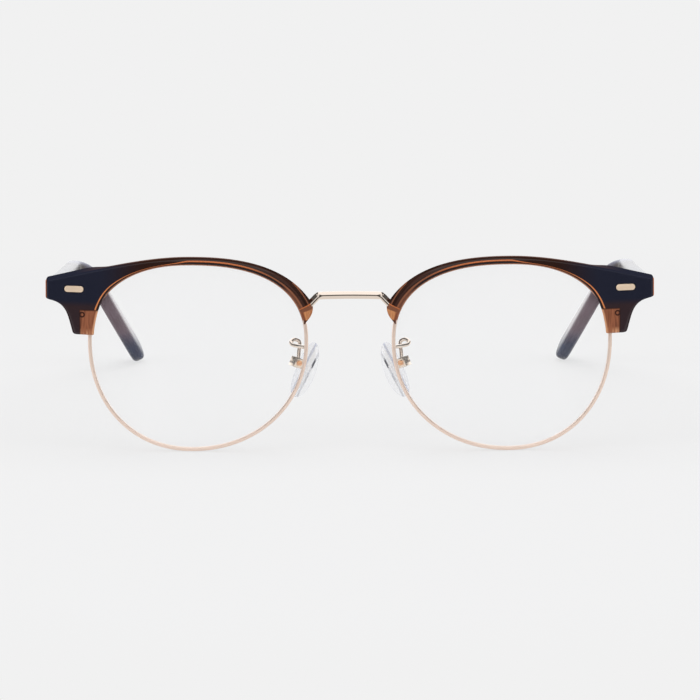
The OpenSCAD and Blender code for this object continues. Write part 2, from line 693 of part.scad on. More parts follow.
// The left half of the bar's middle line, from its straight part to its foot
function half_bridge() =
    let (corner = [bridge_half, bridge_y, bridge_z], way = unit(bridge_end - corner),
         past = corner + bridge_bend * way)
    concat(bezier(corner - [bridge_bend, 0, 0], corner, corner, past, bridge_steps),
           [(past + bridge_end) / 2, bridge_end]);
function bridge_line() =
    let (half = half_bridge(), straight = bridge_half - bridge_bend)
    concat([for (i = [len(half) - 1:-1:0]) [-half[i][0], half[i][1], half[i][2]]],
           [for (i = [-2:2]) [i * straight / 3, bridge_y, bridge_z + bridge_rise * cos(i * 30)]],
           half);

module bridge_bar(grow)
    skin(tube_rings(bridge_line(), bridge_d + 2 * grow, bridge_h + 2 * grow, bridge_sides, [0, 0, 1]));
module bridge_saddle(grow) intersection() {
    seen_from_front() difference() {
        lens_area(rim_w / 2 + saddle_w + grow);
        lens_area(rim_w / 2 + seat / 2 - grow);
    }
    seen_from_front() polygon([[apex_x, wide_z], for (a = [nose_turn + grow, nose_turn - saddle_arc - grow])
        [apex_x, wide_z] + 2 * lens_w * [cos(a), sin(a)]]);
    layer(-bridge_d / 2 - grow, bridge_d / 2 + grow);
}
module bridge() color(gold_color) difference() {
    union() {
        bridge_bar(0);
        for (side = ["left", "right"]) on_side(side) bridge_saddle(0);
    }
    for (side = ["left", "right"]) on_side(side) seen_from_front() lens_area(rim_w / 2 + seat / 2);
}

// Nose pads. In the pad's own frame -X is towards the nose, Y is the screw and Z the long axis.

box_back = 0.4;
pad_head_d = head_ratio * pad_screw_d;
pad_head_h = 0.35;
pad_head_y = -box_a / 2 - pad_head_h;
pad_rings = 12;
pad_sides = 16;
// The pad is this much wider at its lower end than in its middle
pad_drop = 0.12;
arm_sides = 10;
arm_steps = 5;

module pad_frame()
    translate([pad_x, pad_y, pad_z]) rotate([0, 0, -pad_turn]) rotate([0, -pad_splay, 0]) children();

module pad_box(side) on_side(side) color(gold_color) pad_frame() difference() {
    box_between([-box_n / 2, -box_a / 2, -box_h / 2], [box_n / 2, box_a / 2, box_h / 2]);
    box_between([-box_n, -tab_t / 2 - fit, -box_h], [box_n / 2 - box_back, tab_t / 2 + fit, box_h]);
    pin_y(0, 0, -box_a, box_a, pad_screw_d + 2 * fit);
}

module pad_screw(side) on_side(side) color(screw_color) pad_frame() difference() {
    union() {
        pin_y(0, 0, -box_a / 2 - pad_head_h / 2, box_a / 2, pad_screw_d);
        pin_y(0, 0, pad_head_y, -box_a / 2, pad_head_d);
    }
    translate([0, pad_head_y, 0]) rotate([0, pad_splay, 0]) screw_slot([0, 0, 0], pad_head_d);
}

module pad_insert(side) on_side(side) color(gold_color) pad_frame() difference() {
    union() {
        box_between([-tab_len, -tab_t / 2, -tab_h / 2], [0, tab_t / 2, tab_h / 2]);
        pin_y(0, 0, -tab_t / 2, tab_t / 2, tab_h);
    }
    pin_y(0, 0, -tab_t, tab_t, pad_screw_d + 2 * fit);
}

// The pad is an oval, rounded off towards both ends of its long axis
module nose_pad(side) on_side(side) color(pad_color) pad_frame()
    translate([-tab_len - pad_t / 2, 0, -pad_hang]) skin([for (i = [0:pad_rings])
        let (v = -cos(i * 180 / pad_rings), k = sqrt(max(0.01, 1 - v * v)),
             wide = pad_w * (1 - pad_drop * v))
        [for (j = [0:pad_sides - 1]) let (a = j * 360 / pad_sides)
            [pad_t / 2 * k * cos(a), -wide / 2 * k * sin(a), pad_len / 2 * v]]]);

// The arm leaves the back of the rim, curls over and comes down on top of the pad box.
// Its points are shares of the loop's reach outwards, back and up.
arm_shape = [[0.08, 0.17, 0.87], [0.51, 0.44, 0.84], [0.95, 0.69, 0.87], [1, 0.8, 0.93], [0.7, 0.95, 1],
             [0.46, 1, 0.87], [0.47, 0.98, 0.67], [0.51, 0.9, 0.4], [0.54, 0.85, 0.12]];
function arm_points() =
    [for (p = arm_shape) [nose_gap / 2 + p[0] * arm_out, p[1] * arm_back, pad_z + p[2] * arm_rise]];

module pad_arm(side) on_side(side) color(gold_color) difference() {
    intersection() {
        skin(tube_rings(through(arm_points(), arm_steps), arm_d, arm_d, arm_sides, [1, 0, 0]));
        ball(-rim_d / 2);
    }
    pad_frame() box_between([-box_n, -box_a, -box_h], [box_n / 2, box_a, box_h / 2]);
}

for (side = ["left", "right"]) {
    placed() brow(side);
    placed() rim(side);
    placed() lens_glass(side);
    placed() rim_lock(side);
    placed() rim_screw(side);
    placed() brow_screw(side);
    placed() rivet_plate(side);
    placed() front_hinge(side);
    placed() hinge_screw(side);
    placed() temple_hinge(side);
    placed() temple(side);
    placed() core_wire(side);
    placed() pad_arm(side);
    placed() pad_box(side);
    placed() pad_screw(side);
    placed() pad_insert(side);
    placed() nose_pad(side);
}
placed() bridge();
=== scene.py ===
"""Looks of the browline glasses: acetate brows and temples, rose-gold rims, clear lenses and pads.

The shapes repeat the formulas of the part's source in millimetres, and become metres when they go
into a mesh. Every shape is made for the wearer's left, which is +X, and mirrored for the right.
"""

import bmesh
import bpy
import numpy as np
from mathutils import Matrix, Vector


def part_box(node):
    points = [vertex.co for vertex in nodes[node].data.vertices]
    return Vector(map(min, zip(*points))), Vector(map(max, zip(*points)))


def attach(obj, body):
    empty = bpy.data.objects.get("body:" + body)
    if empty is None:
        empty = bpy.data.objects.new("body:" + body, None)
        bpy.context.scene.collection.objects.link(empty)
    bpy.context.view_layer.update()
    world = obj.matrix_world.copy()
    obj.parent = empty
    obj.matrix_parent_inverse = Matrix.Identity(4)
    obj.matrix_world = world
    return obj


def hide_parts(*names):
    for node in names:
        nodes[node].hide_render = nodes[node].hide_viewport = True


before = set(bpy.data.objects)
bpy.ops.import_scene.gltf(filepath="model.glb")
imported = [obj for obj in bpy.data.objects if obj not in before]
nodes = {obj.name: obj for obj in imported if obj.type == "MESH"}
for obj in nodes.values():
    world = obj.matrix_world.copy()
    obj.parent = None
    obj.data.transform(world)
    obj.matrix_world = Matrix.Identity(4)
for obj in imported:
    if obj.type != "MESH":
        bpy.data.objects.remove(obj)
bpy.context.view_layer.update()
SIDES = {"left": 1, "right": -1}

# Sizes of the part's source, in millimetres and degrees
LENS_W, LENS_H, APEX_IN, WIDE_UP = 49.7, 43.1, 26.5, 25.0
SQUARE = {"top_in": 2.4, "top_out": 2.26, "low_in": 2.07, "low_out": 2.13}
NOSE_GAP, CURVE_R, CURVE_X = 19.8, 150.0, 28.0
LENS_T, RIM_W, RIM_D = 1.6, 0.75, 1.8
BROW_FRONT, BROW_BACK, BROW_PEAK, BROW_NOSE = 1.7, 2.2, 1.16, 2.85
NOSE_TURN, NOSE_FLARE, RIM_SHOW = 164.5, 3.2, 0.25
EAR_X, EAR_TOP, EAR_LOW, EAR_ROUND, EAR_BACK = 69.75, 39.075, 34.975, 0.7, 12.0
LEG_LOW, LEG_IN, POCKET_X, POCKET_TOP, POCKET_WALL = 27.075, 0.6, 62.0, 32.475, 1.3
PLATE_X, PLATE_Z, PLATE_W, PLATE_H = 63.05, 37.375, 4.4, 1.4
BRIDGE_H, BRIDGE_D, BRIDGE_Z, BRIDGE_HALF, BRIDGE_RISE = 1.75, 1.5, 35.875, 7.3, 0.12
TEMPLE_T, TAIL_T, TEMPLE_H, WAIST_H, PADDLE_H = 3.9, 3.5, 5.0, 4.1, 7.6
BEND_Y, BEND_R, BEND_START, TAIL_DROP, TAIL_LEN = 94.0, 20.0, 5.5, 39.0, 40.2
TAIL_LEAN, TAIL_TWIST, TAIL_TURN, TEMPLE_OUT, BEND_IN = 17.0, 24.0, 4.0, 1.2, 3.2
TEMPLE_X, TEMPLE_Y, TEMPLE_Z = EAR_X - TEMPLE_T / 2 - 0.05, EAR_BACK + 0.1, EAR_TOP - 2.7
TIP_ROUND, TIP_THIN = 6.0, 3.0
PAD_AT, PAD_TURN, PAD_SPLAY = np.array([12.3, 7.4, 19.575]), 32.0, 24.0
PAD_LEN, PAD_W, PAD_T, PAD_HANG, PAD_DROP, TAB_LEN = 13.4, 7.8, 2.2, 0.8, 0.12, 2.0
# Reach of the pad arm's loop outwards, back and up
ARM_REACH = np.array([3.7, 9.2, 5.1])
APEX_X = NOSE_GAP / 2 + APEX_IN
WIDE_Z = WIDE_UP + RIM_W / 2
CURVE_Z = (LENS_H + RIM_W) / 2
# The frame's origin lies this far behind the foremost point of the front's ball
MIDDLE_Y = EAR_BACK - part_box("rivet_plate_left")[1].y * 1000


# Meshes from grids of points

def to_metres(points):
    """Millimetres from the ball's foremost point to metres from the frame's origin."""
    return (points - np.array([0, MIDDLE_Y, 0])) / 1000


def grid_mesh(name, points, wrap_u=False, wrap_v=True, caps=True, side=1, uv=None):
    """A closed skin over a grid of points: quads between neighbours, wrapped where asked.

    The first and last ring are closed by a fan to their middle. Faces are turned outwards by the
    sign of the enclosed volume, which is the sum over triangles of a . (b x c) / 6.
    """
    nu, nv = points.shape[:2]
    flat = points.reshape(-1, 3) * np.array([side, 1, 1])
    index = np.arange(nu * nv).reshape(nu, nv)
    a = index if wrap_u else index[:-1]
    b = np.roll(index, -1, axis=0) if wrap_u else index[1:]
    if wrap_v:
        quads = columns(a, np.roll(a, -1, axis=1), np.roll(b, -1, axis=1), b)
    else:
        quads = columns(a[:, :-1], a[:, 1:], b[:, 1:], b[:, :-1])
    quads = quads.reshape(-1, 4)
    tris = np.zeros((0, 3), int)
    if caps and not wrap_u:
        middles = np.array([flat[index[0]].mean(0), flat[index[-1]].mean(0)])
        first, last = index[0], index[-1]
        tris = joined(
            columns(np.roll(first, -1), first, np.full(nv, nu * nv)),
            columns(last, np.roll(last, -1), np.full(nv, nu * nv + 1)))
        flat = joined(flat, middles)
        if uv is not None:
            uv = joined(uv.reshape(-1, 2), uv[0].mean(0)[None], uv[-1].mean(0)[None])
    corner = joined(quads[:, [0, 1, 2]], quads[:, [0, 2, 3]], tris)
    p, q, r = (flat[corner[:, i]] for i in range(3))
    if np.einsum("ij,ij->", p, np.cross(q, r)) < 0:
        quads, tris = quads[:, ::-1], tris[:, ::-1]
    mesh = bpy.data.meshes.new(name)
    mesh.from_pydata(to_metres(flat).tolist(), [], quads.tolist() + tris.tolist())
    if uv is not None:
        loops = joined(quads.ravel(), tris.ravel())
        layer = mesh.uv_layers.new(name="across")
        layer.data.foreach_set("uv", uv.reshape(-1, 2)[loops].ravel())
    mesh.polygons.foreach_set("use_smooth", [True] * len(mesh.polygons))
    mesh.update()
    return new_object(name, mesh)


def new_object(name, mesh):
    """An object at the origin that shows the mesh."""
    made = bpy.data.objects.new(name, mesh)
    bpy.context.scene.collection.objects.link(made)
    return made


def unit(v):
    """Rows of v, each divided by its length."""
    return v / np.linalg.norm(v, axis=-1, keepdims=True)


def ease(k):
    """Smooth step from 0 to 1."""
    return k * k * (3 - 2 * k)


def step(value, start, over):
    """Smooth step of a value from 0 at the start to 1 at start + over."""
    return ease(np.clip((value - start) / over, 0, 1))


def columns(*values):
    """The values side by side along a new last axis."""
    return np.stack(values, axis=-1)


def joined(*values):
    """The values one behind the other."""
    return np.concatenate(values)


def circle(degrees):
    """Cosine and sine."""
    return np.cos(np.radians(degrees)), np.sin(np.radians(degrees))


def way_along(points):
    """Distance of each point along the line through all of them."""
    return np.append(0, np.cumsum(np.linalg.norm(np.diff(points, axis=0), axis=1)))


def smooth_line(points, count):
    """A cubic Hermite line through the points, with slopes from their neighbours, at even steps."""
    points = np.array(points, float)
    way = way_along(points)
    slope = np.gradient(points, way, axis=0)
    s = np.linspace(0, way[-1], count)
    i = np.clip(np.searchsorted(way, s, side="right") - 1, 0, len(way) - 2)
    h = (way[i + 1] - way[i])[:, None]
    t = ((s - way[i])[:, None]) / h
    return ((2 * t**3 - 3 * t**2 + 1) * points[i] + (t**3 - 2 * t**2 + t) * h * slope[i]
            + (3 * t**2 - 2 * t**3) * points[i + 1] + (t**3 - t**2) * h * slope[i + 1])


def section(sides, square, wide, high):
    """A superellipse: |x / (wide/2)|^n + |y / (high/2)|^n = 1, as sides points."""
    a = np.arange(sides) * 2 * np.pi / sides
    c, s = np.cos(a), np.sin(a)
    return columns(wide / 2 * np.sign(c) * np.abs(c) ** (2 / square),
                   high / 2 * np.sign(s) * np.abs(s) ** (2 / square))


def sweep(line, up, profile):
    """The profile carried along the line: its first axis is up x tangent, its second t x that."""
    t = unit(np.gradient(line, axis=0))
    n = unit(np.cross(np.broadcast_to(up, t.shape), t))
    b = np.cross(t, n)
    flat = np.broadcast_to(profile, (len(line),) + profile.shape[-2:])
    return line[:, None] + flat[..., :1] * n[:, None] + flat[..., 1:] * b[:, None]


# The lens's outline and the front's ball

def lens_point(angle, grow):
    """Point of the lens's outline at the angle, moved outwards along its normal by grow.

    The outline is four superellipse quarters, |c r / a|^n + |s r / b|^n = 1, about the apex.
    """
    c, s = circle(angle)
    across = np.where(c > 0, LENS_W - APEX_IN, APEX_IN)
    high = np.where(s > 0, LENS_H - WIDE_UP, WIDE_UP)
    n = np.where(s > 0, np.where(c > 0, SQUARE["top_out"], SQUARE["top_in"]),
                 np.where(c > 0, SQUARE["low_out"], SQUARE["low_in"]))
    r = (np.abs(c / across) ** n + np.abs(s / high) ** n) ** (-1 / n)
    normal = columns(np.sign(c) * np.abs(r * c / across) ** (n - 1) / across,
                     np.sign(s) * np.abs(r * s / high) ** (n - 1) / high)
    edge = np.array([APEX_X, WIDE_Z]) + r[..., None] * columns(c, s)
    return edge + np.asarray(grow)[..., None] * unit(normal)


def ball_y(x, z, front):
    """Depth of the ball that the front is curved to, with its radius grown by front."""
    return CURVE_R - np.sqrt((CURVE_R + front) ** 2 - (x - CURVE_X) ** 2 - (z - CURVE_Z) ** 2)


def bezier(a, b, c, d, steps):
    """Cubic Bezier points from a to d with handles b and c."""
    t = np.linspace(0, 1, steps)[:, None]
    s = 1 - t
    return (s**3 * np.array(a) + 3 * s * s * t * np.array(b) + 3 * s * t * t * np.array(c)
            + t**3 * np.array(d))


# Brow: a strip between the lens's edge and the brow's outer outline, with a rounded section

# Reach of the flat-backed block at the outer end: from here inwards, to here, and down to here
BLOCK_IN, BLOCK_FLAT, BLOCK_LOW = 15.0, 9.0, EAR_LOW - 1.4
# Radii of the strip's four edges, and the shares of its width that they may take up
FRONT_IN, FRONT_OUT, BACK_IN, BACK_OUT = (0.3, 0.3), (0.95, 0.45), (0.25, 0.3), (0.4, 0.3)
# The front's outer edge is a long soft bevel, this many times as deep as it is wide
BEVEL_DEEP = 1.9
# The ends' rounding: how far the ring moves on and how far its points come in
END_REACH = (0.2, 0.35, 0.4)
END_INSET = (0.05, 0.2, 0.4)
# Where the cutter of the pocket starts, inwards and below, and how far back it goes
POCKET_IN, POCKET_UNDER, POCKET_BACK = APEX_X + 18, LEG_LOW - 2, 20.0
# Gap and depth of the recess round the plate, and how far the cutter stands out in front
PILL_GAP, PILL_DEEP, PILL_OUT = 0.16, 0.45, 6
# Room round a hinge's leaf in its seat, the seat's depth, and how far back its cutter goes
SEAT_GAP, SEAT_DEEP, SEAT_BACK = 0.05, 0.85, 14
# Turns in degrees above which an edge of acetate or of metal is drawn sharp
ACETATE_SHARP, METAL_SHARP = 40, 35


def resample(points, count):
    """The same line with even steps along its length."""
    way = way_along(points)
    s = np.linspace(0, way[-1], count)
    return np.stack([np.interp(s, way, points[:, k]) for k in range(points.shape[1])], axis=-1)


def brow_outlines():
    """Inner and outer outline from the leg's end to the nose end, matched point by point.

    The outer one is Bezier curves up the leg, round the outer end and over the top, then the
    lens's outline grown by a flare that rises as a power of the turn. The inner one is the lens's
    outline, stepped inwards at the leg.
    """
    fall = 0.15  # of the outer end's top and bottom edge over the rounding of its corner
    top_in = np.array([EAR_X - EAR_ROUND, EAR_TOP + fall])
    low_in = np.array([EAR_X - EAR_ROUND, EAR_LOW - fall])
    leg_out = np.array([POCKET_X + 1.55, LEG_LOW + 0.35])
    peak = lens_point(np.array(90.0), BROW_PEAK)
    corner = lambda a, b, c: bezier(a, b, b, c, 14)
    leg = resample(bezier(leg_out, leg_out + [1.1, 3.7], low_in - [4.3, 0.8], low_in, 80), 60)
    low = corner(low_in, [EAR_X, EAR_LOW], [EAR_X, EAR_LOW + EAR_ROUND])
    end = resample(np.array([[EAR_X, EAR_LOW + EAR_ROUND], [EAR_X, EAR_TOP - EAR_ROUND]]), 20)
    high = corner([EAR_X, EAR_TOP - EAR_ROUND], [EAR_X, EAR_TOP], top_in)
    top = resample(bezier(top_in, top_in + [-14, 3], peak + [10, 0], peak, 160), 150)
    turn = np.linspace(90, NOSE_TURN, 150)
    flare = ((turn - 90) / (NOSE_TURN - 90)) ** NOSE_FLARE
    arc = lens_point(turn, BROW_PEAK + (BROW_NOSE - BROW_PEAK) * flare)
    tip_angle = NOSE_TURN + 5.5
    tip = lens_point(np.array(tip_angle), 0) - [0.3, 0]
    nose = resample(bezier(arc[-1], arc[-1] - [0.1, 1.9], tip + [-0.9, 0.9], tip, 60), 40)
    parts = [leg, low[1:], end[1:], high[1:], top[1:], arc[1:], nose[1:]]
    outer = np.concatenate(parts)
    # angles of the inner points that belong to the leg's end and to the end of each part
    ends = np.cumsum([len(part) for part in parts]) - 1
    angles = (5.0, 21, 24, 33, 35.5, 90, NOSE_TURN, tip_angle)
    angle = np.interp(np.arange(len(outer)), [0, *ends], angles)
    step_in = (LEG_IN + RIM_SHOW) * step(-angle, -36, 26)
    return lens_point(angle, RIM_SHOW - RIM_W / 2 - step_in), outer


def back_depth(x, z):
    """Back of the brow: the ball's back, drawn out to the flat face at the outer end."""
    ball = ball_y(x, z, -BROW_BACK)
    share = step(x, EAR_X - BLOCK_IN, BLOCK_IN - BLOCK_FLAT) * step(z, BLOCK_LOW - 0.5, 1)
    return ball + share * (EAR_BACK - ball)


def brow(side):
    """Rounded section: over the front from the lens's edge outwards, and back again behind.

    Each point is the inner outline plus a share of the way to the outer one. At each of the four
    edges that share and the depth go round a quarter of a circle or an ellipse.
    """
    inner, outer = brow_outlines()
    way = outer - inner
    width = np.linalg.norm(way, axis=1, keepdims=True)
    c, s = circle(np.linspace(0, 90, 9))
    flat = np.linspace(0, 1, 14)[1:-1]

    def half(r_in, r_out, deep_out):
        """Distances from the inner outline and depths below the face, from inside outwards."""
        dist = [r_in * (1 - s[::-1]), r_in + (width - r_in - r_out) * flat, width - r_out * (1 - s)]
        deep = [r_in * (1 - c[::-1]), 0 * width * flat, deep_out * (1 - c)]
        return np.concatenate(dist, axis=1), np.concatenate(deep, axis=1)

    front_in, soft, back_in, tight = (
        np.minimum(radius, share * width)
        for radius, share in (FRONT_IN, FRONT_OUT, BACK_IN, BACK_OUT))
    front_dist, front_deep = half(front_in, soft, BEVEL_DEEP * soft)
    back_dist, back_deep = half(back_in, tight, tight)
    dist = np.concatenate([front_dist, back_dist[:, ::-1]], axis=1)
    xz = inner[:, None] + (dist / width)[..., None] * way[:, None]
    x, z = xz[..., 0], xz[..., 1]
    m = front_dist.shape[1]
    y = np.empty_like(x)
    y[:, :m] = ball_y(x[:, :m], z[:, :m], BROW_FRONT) + front_deep
    y[:, m:] = back_depth(x[:, m:], z[:, m:]) - back_deep[:, ::-1]
    points = columns(x, y, z)
    along = np.broadcast_to(np.linspace(0, 1, len(dist))[:, None], dist.shape)
    uv = columns(dist, along)
    made = grid_mesh("acetate_brow_" + side, rounded_ends(points), side=SIDES[side], uv=ends_uv(uv))
    cut_hollows(made, side)
    return made


def rounded_ends(points):
    """The rings with more at each end, each drawn in towards its middle, so that it is rounded."""
    return joined(shrunk(points[0], points[0] - points[2])[::-1], points,
                  shrunk(points[-1], points[-1] - points[-3]))


def shrunk(ring, way):
    """Copies of the ring, moved on and drawn in towards its middle by the end's steps."""
    middle = ring.mean(0)
    off = ring - middle
    far = np.linalg.norm(off, axis=1, keepdims=True)
    way = unit(way.mean(0))
    return np.stack([middle + off * (1 - np.minimum(k, 0.9 * far) / far) + r * way
                     for k, r in zip(END_INSET, END_REACH)])


def ends_uv(uv):
    """The pattern's coordinates with those of the rings that rounded_ends adds."""
    extra = len(END_REACH)
    return joined(np.repeat(uv[:1], extra, 0), uv, np.repeat(uv[-1:], extra, 0))


def box_cutter(low, high, side):
    """A closed box between two corners."""
    (x0, y0, z0), (x1, y1, z1) = low, high
    ring = lambda y: np.array([[x0, y, z0], [x1, y, z0], [x1, y, z1], [x0, y, z1]])
    return cutter([ring(y0), ring(y1)], side)


def cutter(rings, side):
    """A closed solid to take out of a brow or a temple. Its faces count as far from the lens."""
    rings = np.stack(rings)
    far_off = np.broadcast_to(np.array([3.0, 0.5]), rings.shape[:2] + (2,))
    return grid_mesh("cut", rings, side=SIDES[side], uv=far_off)


def pocket_cutter(side):
    """Cuts the hollow behind the leg: a rectangle's outline, from its wall's ball backwards."""
    x = np.linspace(POCKET_IN, POCKET_X, 24)
    z = np.linspace(POCKET_UNDER, POCKET_TOP, 12)
    across = joined(x, np.full(11, x[-1]), x[-2::-1], np.full(10, x[0]))
    up = joined(np.full(24, z[0]), z[1:], np.full(23, z[-1]), z[-2:0:-1])
    wall = ball_y(across, up, BROW_FRONT - POCKET_WALL)
    back = np.full_like(across, POCKET_BACK)
    return cutter([columns(across, y, up) for y in (wall, back)], side)


def pill_ring(grow):
    """Outline of the plate, two half circles joined, as (x, z) points."""
    half = (PLATE_H / 2 + grow) * columns(*circle(np.linspace(-90, 90, 25)))
    reach = (PLATE_W - PLATE_H) / 2
    return joined(half + [reach, 0], -half - [reach, 0]) + [PLATE_X, PLATE_Z]


def pill_cutter(side):
    """Cuts the recess round the plate: its outline with a gap, from in front to the floor."""
    ring = pill_ring(PILL_GAP)
    floor = ball_y(ring[:, 0], ring[:, 1], BROW_FRONT - PILL_DEEP)
    return cutter([columns(ring[:, 0], y, ring[:, 1]) for y in (floor - PILL_OUT, floor)], side)


def node_box(node):
    """A node's lowest and highest corners in millimetres from the ball's foremost point."""
    return (np.array(v) * 1000 + [0, MIDDLE_Y, 0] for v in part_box(node))


def cut_hollows(made, side):
    """Takes the pocket, the plate's recess and the hinge's seat out of the brow."""
    low, high = node_box("front_hinge_left")
    seat = box_cutter((low[0] - SEAT_GAP, EAR_BACK - SEAT_DEEP, low[2] - SEAT_GAP),
                      (high[0] + SEAT_GAP, SEAT_BACK, high[2] + SEAT_GAP), side)
    for tool in (pocket_cutter(side), pill_cutter(side), seat):
        take_out(made, tool)
    sharpen(made, ACETATE_SHARP)


def take_out(made, tool):
    """Takes the tool's solid out of the object's mesh, and removes the tool."""
    modifier = made.modifiers.new("hollow", "BOOLEAN")
    modifier.operation = "DIFFERENCE"
    modifier.solver = "MANIFOLD"
    modifier.object = tool
    keep_modified(made)
    bpy.data.objects.remove(tool)


def keep_modified(made):
    """The object's mesh becomes what its modifiers give, and the modifiers go."""
    depsgraph = bpy.context.evaluated_depsgraph_get()
    depsgraph.update()
    mesh = bpy.data.meshes.new_from_object(made.evaluated_get(depsgraph))
    made.modifiers.clear()
    made.data = mesh


def sharpen(made, degrees):
    """Edges that turn by more than the angle are drawn sharp, the rest smooth."""
    made.data.set_sharp_from_angle(angle=np.radians(degrees))


# Rim, lens and bridge

# The photographed wire looks wider than the built one, on the lens's side
RIM_MORE = 0.12
# Angles at which the rim's wire starts and ends, at the saw cut
RIM_TURN = (10.4, 369.6)


def rim(side):
    """A rounded oblong section carried round the lens's outline, along its normals and the ball."""
    angle = np.linspace(*RIM_TURN, 480)
    prof = section(24, 3.2, RIM_W + RIM_MORE, RIM_D) - [RIM_MORE / 2, 0]
    edge = lens_point(angle, 0.0)
    out = unit(lens_point(angle, 1.0) - edge)
    x = edge[:, :1] + prof[:, 0] * out[:, :1]
    z = edge[:, 1:] + prof[:, 0] * out[:, 1:]
    y = ball_y(x, z, 0.0) + prof[:, 1]
    return grid_mesh("wire_rim_" + side, columns(x, y, z), side=SIDES[side])


def lens(side):
    """Front and back face on the ball, in rings from the middle to the edge, with a small bevel.

    Each ring is the outline's share of the way from the middle, and the last is the bevel's edge.
    """
    angle = np.linspace(0, 360, 181)[:-1]
    shares = (0.002, 0.25, 0.5, 0.75, 0.93, 1.0)
    edge = lens_point(angle, -RIM_W / 2 - 0.02)
    centre = np.array([APEX_X, WIDE_Z])
    xz = [centre + share * (edge - centre) for share in shares] + [lens_point(angle, 0.0)]
    front = [LENS_T / 2] * len(shares) + [0.25]
    xz, front = xz + xz[::-1], front + [-f for f in front[::-1]]
    points = np.stack([columns(p[:, 0], ball_y(p[:, 0], p[:, 1], f), p[:, 1])
                       for p, f in zip(xz, front)])
    return grid_mesh("clear_lens_" + side, points, side=SIDES[side])


# The bar's exponent in its straight part and how much it grows at its feet, the turn of the feet's
# flat fronts upwards, and how much thinner the feet are
BAR_SQUARE, FOOT_SQUARE, FOOT_TURN, FOOT_THIN = 2.1, 2.4, 15.0, 0.05
# Slope of the facet on the feet's top front edge, its distance from the middle line, and how much
# nearer it comes
FACET_TURN, FACET_OUT, FACET_IN = 50.0, 1.15, 0.68
# Distances from the mirror plane at which the feet's form and the facet start, and their lengths
FOOT_FROM, FOOT_OVER, FACET_FROM, FACET_OVER = 6.2, 1.3, 6.8, 0.8
# Length of the bend on each side of the bar's corner
BAR_BEND = 0.9


def bridge():
    """A bar along its bent middle line, round in its middle and faceted at both feet.

    The section is a superellipse whose exponent grows towards the feet, turned a little, and cut
    off by a plane. The middle line rises as a cosine, bends on a Bezier curve and runs straight to
    the rim.
    """
    y = float(ball_y(NOSE_GAP / 2, BRIDGE_Z, 0))
    foot = lens_point(np.array(NOSE_TURN), RIM_W / 2 + 0.45)
    end = np.array([foot[0], float(ball_y(foot[0], foot[1], 0)), foot[1]])
    corner = np.array([BRIDGE_HALF, y, BRIDGE_Z])
    past = corner + BAR_BEND * unit(end - corner)
    half = joined(bezier(corner - [BAR_BEND, 0, 0], corner, corner, past, 24),
                  resample(np.stack([past, end]), 20)[1:])
    x = np.linspace(-BRIDGE_HALF + BAR_BEND, BRIDGE_HALF - BAR_BEND, 60)[1:-1]
    rise = BRIDGE_RISE * np.cos(x / BRIDGE_HALF * np.pi / 2)
    middle = columns(x, 0 * x + y, BRIDGE_Z + rise)
    line = joined(half[::-1] * [-1, 1, 1], middle, half)
    foot = step(np.abs(line[:, 0]), FOOT_FROM, FOOT_OVER)
    cut = step(np.abs(line[:, 0]), FACET_FROM, FACET_OVER)
    rings = np.stack([section(72, n, BRIDGE_D, BRIDGE_H) for n in BAR_SQUARE + FOOT_SQUARE * foot])
    rings = rings * (1 - FOOT_THIN * foot)[:, None, None]
    # the top front edge of both feet is cut off flat
    flat = np.array(circle(FACET_TURN)) * [-1, 1]
    past = np.maximum(0, rings @ flat - (FACET_OUT - FACET_IN * cut)[:, None])
    x, z = np.moveaxis(rings - past[..., None] * flat, -1, 0)
    c, s = circle(-FOOT_TURN * foot[:, None])
    rings = columns(c * x - s * z, s * x + c * z)
    return grid_mesh("bridge_bar", sweep(line, (0, 0, 1), rings))


# Temples

# Sides and exponent of the temple's section
TEMPLE_SIDES, TEMPLE_SQUARE = 48, 3.4
# The front end's rounding: the section's share, and its distance behind the end
TEMPLE_END = ((0.9, 0.0), (0.97, 0.06), (1.0, 0.25))
# Where the cutter of the leaf's seat starts, inwards and in front, and how much of the hinge's
# width outwards lies outside the seat
LEAF_IN, LEAF_FRONT, LEAF_OUT = 60, EAR_BACK - 1, 2.9


